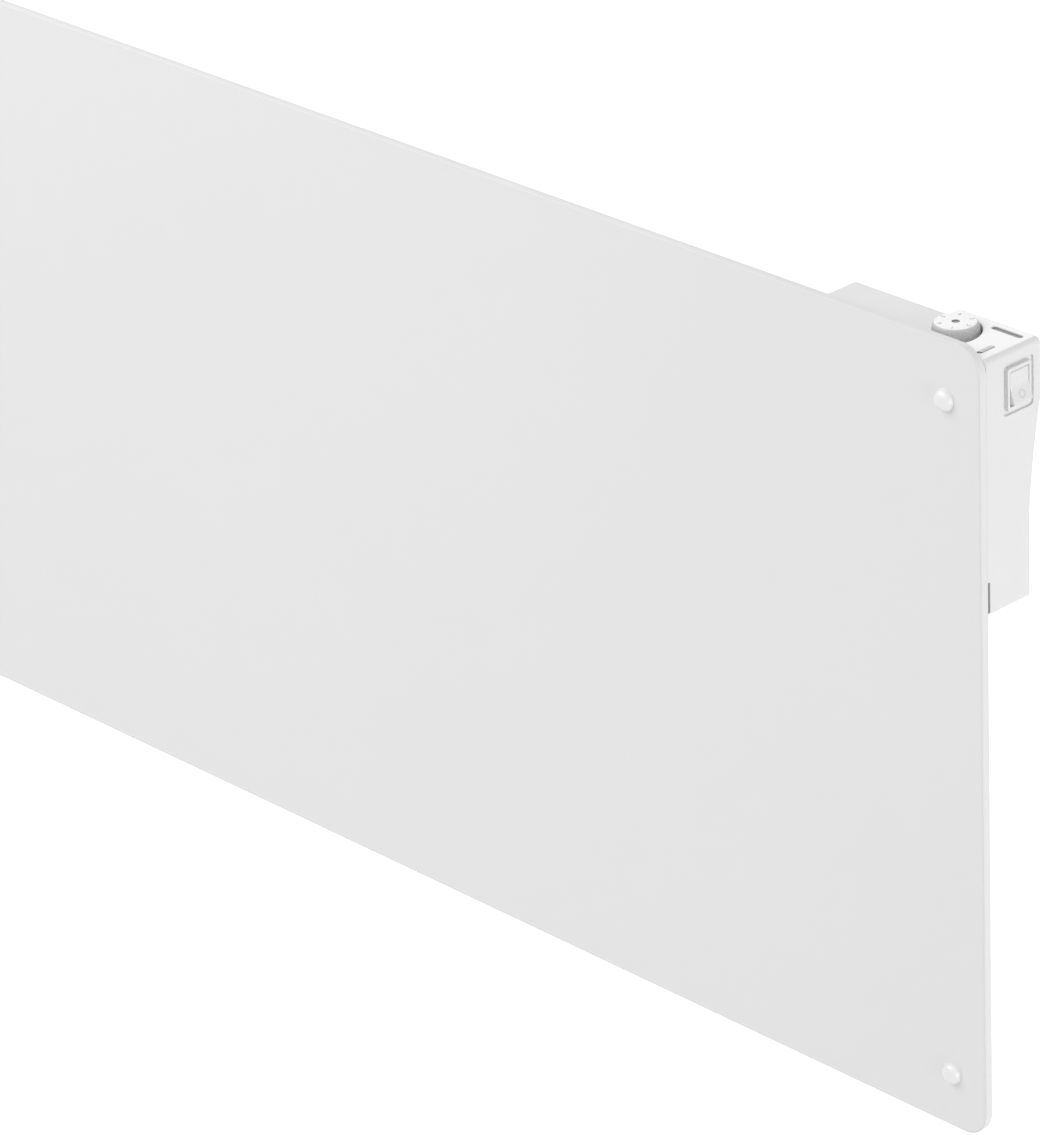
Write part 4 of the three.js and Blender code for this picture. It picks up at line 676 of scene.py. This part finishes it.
def ribTree():
    tree, given, sockets = growTree("knobRibs", {
        "Count": ("NodeSocketInt", 60), "Base Radius": ("NodeSocketFloat", 0.01),
        "Top Radius": ("NodeSocketFloat", 0.009), "Height": ("NodeSocketFloat", 0.005),
        "Rib Radius": ("NodeSocketFloat", 0.0003), "Place": ("NodeSocketVector", (0, 0, 0)),
        "Material": ("NodeSocketMaterial", None)})
    low = addNode(tree, "ShaderNodeCombineXYZ", {}, {0: given["Base Radius"]})
    high = addNode(tree, "ShaderNodeCombineXYZ", {}, {0: given["Top Radius"], 2: given["Height"]})
    line = addNode(tree, "GeometryNodeCurvePrimitiveLine", {}, {
        "Start": low.outputs[0], "End": high.outputs[0]})
    bead = addNode(tree, "GeometryNodeCurvePrimitiveCircle", {}, {
        "Resolution": 8, "Radius": given["Rib Radius"]})
    rib = addNode(tree, "GeometryNodeCurveToMesh", {}, {
        "Curve": line.outputs[0], "Profile Curve": bead.outputs[0], "Fill Caps": True})
    spots = addNode(tree, "GeometryNodePoints", {}, {"Count": given["Count"]})
    turnStep = addNode(tree, "ShaderNodeMath", {"operation": "DIVIDE"}, {0: 2 * math.pi, 1: given["Count"]})
    angle = addNode(tree, "ShaderNodeMath", {"operation": "MULTIPLY"}, {
        0: addNode(tree, "GeometryNodeInputIndex").outputs[0], 1: turnStep.outputs[0]})
    turn = addNode(tree, "ShaderNodeCombineXYZ", {}, {2: angle.outputs[0]})
    copies = addNode(tree, "GeometryNodeInstanceOnPoints", {}, {
        "Points": spots.outputs[0], "Instance": rib.outputs[0], "Rotation": turn.outputs[0]})
    real = addNode(tree, "GeometryNodeRealizeInstances", {}, {"Geometry": copies.outputs[0]})
    placed = addNode(tree, "GeometryNodeTransform", {}, {
        "Geometry": real.outputs[0], "Translation": given["Place"]})
    coloured = addNode(tree, "GeometryNodeSetMaterial", {}, {
        "Geometry": placed.outputs[0], "Material": given["Material"]})
    addNode(tree, "NodeGroupOutput", {}, {0: coloured.outputs[0]})
    return tree, sockets


def makeRibs():
    tree, sockets = ribTree()
    bottom, top = knob["ribLow"], knob["height"] - knob["edge"] - knob["ribShort"]
    slope = (knob["top"] - knob["base"]) / (knob["height"] - knob["edge"])
    return polish(growPiece("knobRibs", tree, sockets, {
        "Count": knob["ribs"], "Base Radius": (knob["base"] + slope * bottom) * mm,
        "Top Radius": (knob["base"] + slope * top) * mm, "Height": (top - bottom) * mm,
        "Rib Radius": knob["ribRadius"] * mm,
        "Place": [c * mm for c in knobPlace + Vector((0, 0, bottom))], "Material": greyAndShadedAbs}))


def makeNumeral(number, angle):  # plain numbers that read from the middle outwards
    text = bpy.data.curves.new("numeral", "FONT")
    text.body = str(number)
    text.size = knob["numeralSize"] * mm
    text.align_x, text.align_y = "CENTER", "CENTER"
    text.extrude = knob["ink"] * mm
    holder = bpy.data.objects.new("numeral", text)
    bpy.context.scene.collection.objects.link(holder)
    bpy.context.view_layer.update()
    mesh = bpy.data.meshes.new_from_object(holder.evaluated_get(bpy.context.evaluated_depsgraph_get()))
    bpy.data.objects.remove(holder)
    spin = Matrix.Rotation(math.radians(angle - 90), 4, "Z")
    out = Vector((math.cos(math.radians(angle)), math.sin(math.radians(angle)), 0)) * knob["numeralRadius"]
    lift = Vector((0, 0, knob["height"] + 0.01))
    mesh.transform(Matrix.Translation((knobPlace + out + lift) * mm) @ spin)
    thing = bpy.data.objects.new("knobNumeral" + str(number), mesh)
    bpy.context.scene.collection.objects.link(thing)
    return thing


knobBody = makeKnobBody()
dress(knobBody, [satinAbs, printedInk, greyAndShadedAbs], "knob", ["setting_knob"])
# the knob's side below its top takes the grey finish, partly grey plastic and partly painted shade
for face in knobBody.data.polygons:
    spot = face.center / mm - knobPlace
    if spot.z < knob["height"] - knob["greyBelow"]:
        face.material_index = 2
    if math.hypot(spot.x, spot.y) < knob["dot"] and spot.z > knob["boreTop"] + 0.5:
        face.material_index = 1
dress(makeRibs(), greyAndShadedAbs, "knob")
for number in range(1, knob["numerals"] + 1):
    bearing = knob["firstAngle"] + knob["sweep"] * (number - 1) / (knob["numerals"] - 1)
    dress(makeNumeral(number, bearing), printedInk, "knob")
print("setting knob made")


def makeSwitchFrame():
    bezelY, bezelZ = rockerSwitch["bezel"]
    windowY, windowZ = rockerSwitch["window"]
    bodyY, bodyZ = rockerSwitch["body"]
    proud, edge = rockerSwitch["proud"], rockerSwitch["edge"]
    outer = roundedRectangle(spanOf(0, bezelY), spanOf(0, bezelZ), rockerSwitch["bezelCorner"], 6)
    inner = roundedRectangle(spanOf(0, windowY), spanOf(0, windowZ), rockerSwitch["windowCorner"], 6)
    back = roundedRectangle(spanOf(0, bodyY), spanOf(0, bodyZ), rockerSwitch["bodyCorner"], 6)
    floor, lip = 0.02 - rockerSwitch["pocketDepth"], rockerSwitch["windowEdge"]
    rings = [(floor, back), (floor, outer)]
    rings += [(proud - d, shrunk(outer, inset)) for d, inset in roundOver(edge, 4)[::-1]]
    rings += [(proud - lip * (1 - math.cos(a)), shrunk(inner, -lip * (1 - math.sin(a))))
              for a in quarterTurn(3)]
    rings += [(-rockerSwitch["well"], inner), (-rockerSwitch["well"], [p * 0.02 for p in inner]),
              (-rockerSwitch["bodyLength"], [p * 0.02 for p in back]), (-rockerSwitch["bodyLength"], back)]
    shape = loft([ringAt(flat, x, "x") for x, flat in rings], closed=True)
    return meshObject("switchFrame", shape,
                      unitPlace + Vector((0, rockerSwitch["depth"], rockerSwitch["height"])))


def makeRocker():  # bent in the middle, tapered inwards to a narrow belly, and resting on "off"
    wide, high = rockerSwitch["rocker"]
    half, face, belly = high / 2, rockerSwitch["face"], rockerSwitch["belly"]
    rise = half * math.tan(math.radians(rockerSwitch["tilt"]))
    shoulder, low, tip = half * 0.94, half * 0.35, rockerSwitch["tip"]
    side = roundedOutline([
        (face, 0, rockerSwitch["bend"]), (face + rise, half, tip), (-face / 2, shoulder, 0), (-belly, low, 1),
        (-belly, -low, 1), (-face / 2, -shoulder, 0), (face + rise, -half, tip)], 8)
    side = side[::-1] if signedArea(side) < 0 else side
    shape = slab(side, spanOf(0, wide), rockerSwitch["rockerEdge"], 4)
    tilt = Matrix.Rotation(math.radians(-rockerSwitch["tilt"]), 3, "Y")
    axis = unitPlace + Vector((rockerSwitch["axis"], rockerSwitch["depth"], rockerSwitch["height"]))
    return meshObject("rocker", moved(shape, turn=tilt), axis), tilt, axis


switchMark = {"outer": 1.9, "inner": 1.35, "down": 3.6, "ink": 0.02, "lift": 0.01}


def makeMark(tilt, axis):  # a plain printed ring on the lower half of the rocker
    lean, down, ink = math.radians(rockerSwitch["tilt"]), switchMark["down"], switchMark["ink"]
    outer, inner = circle(switchMark["outer"], 0, 0, 48), circle(switchMark["inner"], 0, 0, 48)
    rings = [(0, outer), (ink, outer), (ink, inner), (0, inner)]
    flat = loft([ringAt(ring, x, "x") for x, ring in rings], closed=True)
    place = Vector((rockerSwitch["face"] + down * math.tan(lean) + switchMark["lift"], 0, -down))
    onFace = moved(flat, place, Matrix.Rotation(-lean, 3, "Y"))
    return meshObject("switchMark", moved(onFace, turn=tilt), axis)


dress(polish(makeSwitchFrame()), switchPolycarbonate, "heater", ["rocker_switch_body"])
rockerPiece, rockerTilt, rockerAxis = makeRocker()
dress(polish(rockerPiece), switchPolycarbonate, "rocker", ["rocker"])
dress(makeMark(rockerTilt, rockerAxis), markInk, "rocker")
print("rocker switch made")


# The rear tray. Depths are measured from the rear face of the glass.
tray = {
    "sheet": 1.0, "flangeInset": 12.0, "flangeCorner": 8.0, "flangeRear": 4.0, "screwHole": 2.8,
    "depth": 25.0, "marginLeft": 28.0, "marginRight": 115.0, "marginTop": 28.0,
    "marginBottom": 28.0, "corner": 18.0, "edge": 5.0, "fillet": 2.0,
}
dimples = {"count": 6, "pitch": 145.0, "mouth": 12.0, "roll": 1.6, "tip": 6.0, "tipDepth": 18.3, "sides": 40}
louvres = {"width": 46.0, "height": 8.0, "rise": 3.6, "sheet": 0.9, "pitch": 74.0, "columns": 10, "rows": 2,
           "rowPitch": 16.0, "bandInset": 72.0, "holeInset": 1.5, "holeBelow": 4.0, "holeAbove": 2.4}
trayLeft = -panelWidth / 2 + tray["marginLeft"]
trayRight = panelWidth / 2 - tray["marginRight"]
trayLow, trayHigh = tray["marginBottom"], panelHeight - tray["marginTop"]
trayMiddle = ((trayLeft + trayRight) / 2, (trayLow + trayHigh) / 2)


def louvreSpots():
    spots = []
    for row in range(louvres["rows"]):
        for column in range(louvres["columns"]):
            x = trayMiddle[0] + (column - (louvres["columns"] - 1) / 2) * louvres["pitch"]
            inset = louvres["bandInset"] + row * louvres["rowPitch"]
            spots += [(x, trayLow + inset), (x, trayHigh - inset)]
    return spots


def filledSheet(outlines, depth):  # a flat sheet inside the first outline, with the others cut out of it
    build = bmesh.new()
    for outline in outlines:
        corners = [build.verts.new((p.x, depth, p.y)) for p in outline]
        for i, corner in enumerate(corners):
            build.edges.new((corner, corners[(i + 1) % len(corners)]))
    bmesh.ops.triangle_fill(build, edges=build.edges, use_beauty=True, normal=(0, 1, 0))
    build.verts.index_update()
    points = [v.co.copy() for v in build.verts]
    faces = [[v.index for v in face.verts] for face in build.faces]
    build.free()
    return points, faces


def giveWall(sheet, thickness):  # an open sheet is turned to face the wall and gets its thickness inwards
    build = bmesh.new()
    build.from_mesh(sheet.data)
    if sum(face.normal.y * face.calc_area() for face in build.faces) < 0:
        bmesh.ops.reverse_faces(build, faces=build.faces)
    build.to_mesh(sheet.data)
    build.free()
    wall = sheet.modifiers.new("wall", "SOLIDIFY")
    wall.thickness = thickness * mm
    wall.offset = -1
    return settle(sheet)


def makeTray():
    flangeEdge = roundedRectangle(
        (-panelWidth / 2 + tray["flangeInset"], panelWidth / 2 - tray["flangeInset"]),
        (tray["flangeInset"], panelHeight - tray["flangeInset"]), tray["flangeCorner"], 10)
    panEdge = roundedRectangle((trayLeft, trayRight), (trayLow, trayHigh), tray["corner"], 16)
    mouth = shrunk(panEdge, -tray["fillet"])
    rings = [(tray["flangeRear"] + tray["fillet"] * (1 - math.cos(a)), -tray["fillet"] * (1 - math.sin(a)))
             for a in quarterTurn(5)]
    rings += [(tray["depth"] - d, inset) for d, inset in roundOver(tray["edge"], 8)[::-1]]
    walls = loft([ringAt(shrunk(panEdge, inset), y) for y, inset in rings], ends=False)
    backEdge = shrunk(panEdge, tray["edge"])
    screwHoles = [circle(tray["screwHole"], side * (panelWidth / 2 - cornerScrews["insetX"]), z, 24)
                  for side in (-1, 1) for z in (cornerScrews["insetZ"], panelHeight - cornerScrews["insetZ"])]
    openings = []
    for x, z in louvreSpots():
        half = louvres["width"] / 2 - louvres["holeInset"]
        low, high = z - louvres["holeBelow"], z + louvres["holeAbove"]
        openings.append([Vector((x - half, low)), Vector((x + half, low)),
                         Vector((x + half, high)), Vector((x - half, high))])
    depth, wide, tip, tipDepth = tray["depth"], dimples["mouth"], dimples["tip"], dimples["tipDepth"]
    sides, rolled = dimples["sides"], wide + dimples["roll"]
    # a dimple's (depth, radius) pairs, from its rolled lip down to its tip
    dish = [(depth, rolled), (depth - 0.25, wide + 0.7), (depth - 0.9, wide),
            (tipDepth + 0.7, tip + 0.7), (tipDepth + 0.15, tip), (tipDepth, tip - 0.8)]
    pressed, dishes = [], []
    for i in range(dimples["count"]):
        x = trayMiddle[0] + (i - (dimples["count"] - 1) / 2) * dimples["pitch"]
        pressed.append(circle(rolled, x, trayMiddle[1], sides))
        points, faces = loft([ringAt(circle(r, x, trayMiddle[1], sides), y) for y, r in dish], ends=False)
        dishes.append((points, faces + [list(range(len(points) - sides, len(points)))]))
    shape = joined(filledSheet([flangeEdge, mouth, *screwHoles], tray["flangeRear"]), walls,
                   filledSheet([backEdge, *openings, *pressed], tray["depth"]), *dishes)
    return giveWall(meshObject("rearTray", shape, heaterPlace), tray["sheet"])


def louvreTree():
    tree, given, sockets = growTree("louvres", {
        "Columns": ("NodeSocketInt", 10), "Rows": ("NodeSocketInt", 2), "Width": ("NodeSocketFloat", 0.05),
        "Height": ("NodeSocketFloat", 0.008), "Rise": ("NodeSocketFloat", 0.004),
        "Row Length": ("NodeSocketFloat", 0.6), "Band Height": ("NodeSocketFloat", 0.016),
        "Place": ("NodeSocketVector", (0, 0, 0)), "Material": ("NodeSocketMaterial", None)})
    sheet = addNode(tree, "GeometryNodeMeshGrid", {}, {
        "Size X": given["Width"], "Size Y": 1.0, "Vertices X": 33, "Vertices Y": 9})
    position = addNode(tree, "GeometryNodeInputPosition")
    spot = addNode(tree, "ShaderNodeSeparateXYZ", {}, {0: position.outputs[0]})
    # y runs from -0.5 at the lip to 0.5 at the root; the section is a quarter of an ellipse
    angle = addNode(tree, "ShaderNodeMath", {"operation": "MULTIPLY_ADD"}, {
        0: spot.outputs[1], 1: -math.pi / 2, 2: math.pi / 4})
    fall = addNode(tree, "ShaderNodeMath", {"operation": "COSINE"}, {0: angle.outputs[0]})
    swell = addNode(tree, "ShaderNodeMath", {"operation": "SINE"}, {0: angle.outputs[0]})
    drop = addNode(tree, "ShaderNodeMath", {"operation": "SUBTRACT"}, {0: fall.outputs[0], 1: 0.5})
    height = addNode(tree, "ShaderNodeMath", {"operation": "MULTIPLY"}, {
        0: drop.outputs[0], 1: given["Height"]})
    halfWidth = addNode(tree, "ShaderNodeMath", {"operation": "MULTIPLY"}, {0: given["Width"], 1: 0.5})
    # the hood stays open along its lip and closes down towards both ends
    aside = addNode(tree, "ShaderNodeMath", {"operation": "DIVIDE"}, {
        0: spot.outputs[0], 1: halfWidth.outputs[0]})
    far = addNode(tree, "ShaderNodeMath", {"operation": "ABSOLUTE"}, {0: aside.outputs[0]})
    steep = addNode(tree, "ShaderNodeMath", {"operation": "POWER"}, {0: far.outputs[0], 1: 9.0})
    inside = addNode(tree, "ShaderNodeMath", {"operation": "SUBTRACT", "use_clamp": True}, {
        0: 1.0, 1: steep.outputs[0]})
    ends = addNode(tree, "ShaderNodeMath", {"operation": "SQRT"}, {0: inside.outputs[0]})
    bulge = addNode(tree, "ShaderNodeMath", {"operation": "MULTIPLY"}, {
        0: swell.outputs[0], 1: ends.outputs[0]})
    out = addNode(tree, "ShaderNodeMath", {"operation": "MULTIPLY"}, {0: bulge.outputs[0], 1: given["Rise"]})
    inward = addNode(tree, "ShaderNodeMath", {"operation": "MULTIPLY"}, {0: out.outputs[0], 1: -1.0})
    shaped = addNode(tree, "ShaderNodeCombineXYZ", {}, {
        0: spot.outputs[0], 1: height.outputs[0], 2: inward.outputs[0]})
    hood = addNode(tree, "GeometryNodeSetPosition", {}, {
        "Geometry": sheet.outputs["Mesh"], "Position": shaped.outputs[0]})
    spots = addNode(tree, "GeometryNodeMeshGrid", {}, {
        "Size X": given["Row Length"], "Size Y": given["Band Height"],
        "Vertices X": given["Columns"], "Vertices Y": given["Rows"]})
    copies = addNode(tree, "GeometryNodeInstanceOnPoints", {}, {
        "Points": spots.outputs["Mesh"], "Instance": hood.outputs[0]})
    real = addNode(tree, "GeometryNodeRealizeInstances", {}, {"Geometry": copies.outputs[0]})
    upright = addNode(tree, "GeometryNodeTransform", {}, {
        "Geometry": real.outputs[0], "Translation": given["Place"], "Rotation": (math.pi / 2, 0, 0)})
    coloured = addNode(tree, "GeometryNodeSetMaterial", {}, {
        "Geometry": upright.outputs[0], "Material": given["Material"]})
    addNode(tree, "NodeGroupOutput", {}, {0: coloured.outputs[0]})
    return tree, sockets


def makeLouvres(name, tree, sockets, middle):
    band = growPiece(name, tree, sockets, {
        "Columns": louvres["columns"], "Rows": louvres["rows"], "Width": louvres["width"] * mm,
        "Height": louvres["height"] * mm, "Rise": louvres["rise"] * mm,
        "Row Length": louvres["pitch"] * (louvres["columns"] - 1) * mm,
        "Band Height": louvres["rowPitch"] * (louvres["rows"] - 1) * mm,
        "Place": [c * mm for c in heaterPlace + Vector((trayMiddle[0], tray["depth"], middle))],
        "Material": powderCoat})
    return giveWall(band, louvres["sheet"])


dress(polish(makeTray()), powderCoat, "heater", ["rear_tray"])
hoodTree, hoodSockets = louvreTree()
bandInset = louvres["bandInset"] + louvres["rowPitch"] * (louvres["rows"] - 1) / 2
for bandName, bandMiddle in (("lowerLouvres", trayLow + bandInset), ("upperLouvres", trayHigh - bandInset)):
    band = makeLouvres(bandName, hoodTree, hoodSockets, bandMiddle)
    dress(polish(band), powderCoat, "heater")
print("rear tray made")


# Pressed and moulded parts that keep their CAD form, with their edges broken by the last figure.
finishedCopies = [
    (powderCoat, "wall_bracket", "painted_steel", 0.3,
     ["upper_rail", "lower_rail", "upright_left", "upright_right"]),
    (zincSteel, "heater", "zinc_steel", 0.3,
     ["hanger_left", "hanger_right", "lower_catch_left", "lower_catch_right"]),
    (zincSteel, "lock_left", "zinc_steel", 0.4, ["lock_lever_left"]),
    (zincSteel, "lock_right", "zinc_steel", 0.4, ["lock_lever_right"]),
    (switchPolycarbonate, "heater", "switch_plastic", 0.3, ["cable_gland"]),
    (zincSteel, "heater", "zinc_steel", 0.3, ["corner_nut_" + corner for corner in glassCorners]),
    (siliconeRubber, "heater", "silicone", 0.2, ["glass_spacer_" + corner for corner in glassCorners]),
    (blackNylon, "heater", "black_plastic", 0.25, ["lead_grommet"]),
]


def finishedCopy(node, bevel):
    copy = bpy.data.objects.new(node + "_finished", nodes[node].data.copy())
    bpy.context.scene.collection.objects.link(copy)
    build = bmesh.new()
    build.from_mesh(copy.data)
    bmesh.ops.remove_doubles(build, verts=build.verts, dist=1e-6)
    bmesh.ops.dissolve_limit(build, angle_limit=math.radians(1), verts=build.verts, edges=build.edges)
    build.to_mesh(copy.data)
    build.free()
    edges = copy.modifiers.new("edges", "BEVEL")
    edges.width = bevel * mm
    edges.segments = 2
    edges.limit_method = "ANGLE"
    edges.angle_limit = math.radians(40)
    return settle(copy)


for material, body, slot, bevel, names in finishedCopies:
    for node in names:
        dress(polish(finishedCopy(node, bevel)), material, body, [node])
print("finished copies made")


# Inner parts that show as the CAD has them.
innerParts = {
    rolledAluminium: ("heat_spreader", "thermostat_shaft"),
    etchedFoil: ("heating_element",),
    mineralWool: ("insulation_board",),
    blackNylon: ("overheat_cutout", "relay", "air_sensor", "thermostat_body"),
    siliconeRubber: ("heater_lead_lower", "heater_lead_upper"),
    maskedLaminate: ("circuit_board",),
    zincSteel: ("housing_screw_1", "housing_screw_2", "housing_screw_3", "board_screw_1", "board_screw_2",
                "thermostat_nut"),
    terminalBrass: ("switch_terminal_1", "switch_terminal_2"),
    switchPolycarbonate: ("terminal_block", "gland_nut"),
    smokedAcrylic: ("pilot_lamp",),
}
for material, names in innerParts.items():
    for name in names:
        nodes[name].data.materials.clear()
        nodes[name].data.materials.append(material)
print("inner parts finished")


# The studio: three soft square lamps, a pale world and a floor below the heater, which hangs as on its wall.
studio = {
    "floorHeight": -900.0, "floorSize": 14000.0, "floorColour": "#ececec", "floorGlow": 0.62, "fill": 0.5,
    "aim": (250, -40, -60),
    "key": {"place": (-450, -1200, 1250), "size": 1600, "power": 21.6},
    "side": {"place": (2500, -100, -100), "size": 1500, "power": 20.3},
    "top": {"place": (-1100, 1500, 1300), "size": 1600, "power": 5.3},
}
view = {
    "place": (2008.15, -1711.90, 1081.29), "lens": 192.04, "sensor": 36.0,
    "right": (0.69243624, 0.72030811, -0.04108874), "up": (-0.28857128, 0.32870234, 0.89926714),
}


def whiteToEye(tree, behind):  # white for the camera, reflections and clear parts, else the given shader
    path = addNode(tree, "ShaderNodeLightPath")
    first = addNode(tree, "ShaderNodeMath", {"operation": "MAXIMUM"}, {
        0: path.outputs["Is Camera Ray"], 1: path.outputs["Is Glossy Ray"]})
    seen = addNode(tree, "ShaderNodeMath", {"operation": "MAXIMUM"}, {
        0: first.outputs[0], 1: path.outputs["Is Transmission Ray"]})
    return addNode(tree, "ShaderNodeMixShader", {}, {0: seen.outputs[0], 1: behind})


def makeWorld():
    world = bpy.data.worlds.new("studioLight")
    world.use_nodes = True
    tree = world.node_tree
    tree.nodes.clear()
    fill = addNode(tree, "ShaderNodeBackground", {}, {"Color": (1, 1, 1, 1), "Strength": studio["fill"]})
    white = addNode(tree, "ShaderNodeBackground", {}, {"Color": (1, 1, 1, 1), "Strength": 1.0})
    mix = whiteToEye(tree, fill.outputs[0])
    tree.links.new(white.outputs[0], mix.inputs[2])
    addNode(tree, "ShaderNodeOutputWorld", {}, {0: mix.outputs[0]})
    bpy.context.scene.world = world


def makeFloor():
    half, height = studio["floorSize"] / 2, studio["floorHeight"]
    corners = [Vector((half * x, half * y, height)) for x, y in ((-1, -1), (1, -1), (1, 1), (-1, 1))]
    floor = meshObject("floor", (corners, [[0, 1, 2, 3]]))
    material = bpy.data.materials.new("paleFloor")
    material.use_nodes = True
    tree = material.node_tree
    tree.nodes.clear()
    matt = addNode(tree, "ShaderNodeBsdfDiffuse", {}, {"Color": toLinear(studio["floorColour"])})
    glow = addNode(tree, "ShaderNodeEmission", {}, {"Color": (1, 1, 1, 1), "Strength": studio["floorGlow"]})
    both = addNode(tree, "ShaderNodeAddShader", {}, {0: matt.outputs[0], 1: glow.outputs[0]})
    mix = whiteToEye(tree, matt.outputs[0])
    tree.links.new(both.outputs[0], mix.inputs[2])
    addNode(tree, "ShaderNodeOutputMaterial", {}, {"Surface": mix.outputs[0]})
    floor.data.materials.append(material)


def makeLamp(name, lamp):
    light = bpy.data.lights.new(name, "AREA")
    light.energy = lamp["power"]
    light.size = lamp["size"] * mm
    thing = bpy.data.objects.new(name, light)
    bpy.context.scene.collection.objects.link(thing)
    thing.location = Vector(lamp["place"]) * mm
    thing.rotation_euler = (Vector(studio["aim"]) * mm - thing.location).to_track_quat("-Z", "Y").to_euler()


def makeCamera():
    lens = bpy.data.cameras.new("camera")
    lens.sensor_width = view["sensor"]  # the long side of the picture
    lens.lens = view["lens"]
    lens.clip_end = 100
    camera = bpy.data.objects.new("camera", lens)
    bpy.context.scene.collection.objects.link(camera)
    right, up = Vector(view["right"]), Vector(view["up"])
    turn = Matrix((right, up, right.cross(up))).transposed().to_4x4()
    camera.matrix_world = Matrix.Translation(Vector(view["place"]) * mm) @ turn
    bpy.context.scene.camera = camera


makeWorld()
makeFloor()
for lampName in ("key", "side", "top"):
    makeLamp(lampName, studio[lampName])
makeCamera()
bpy.context.scene.view_settings.view_transform = "Standard"
print("studio made")
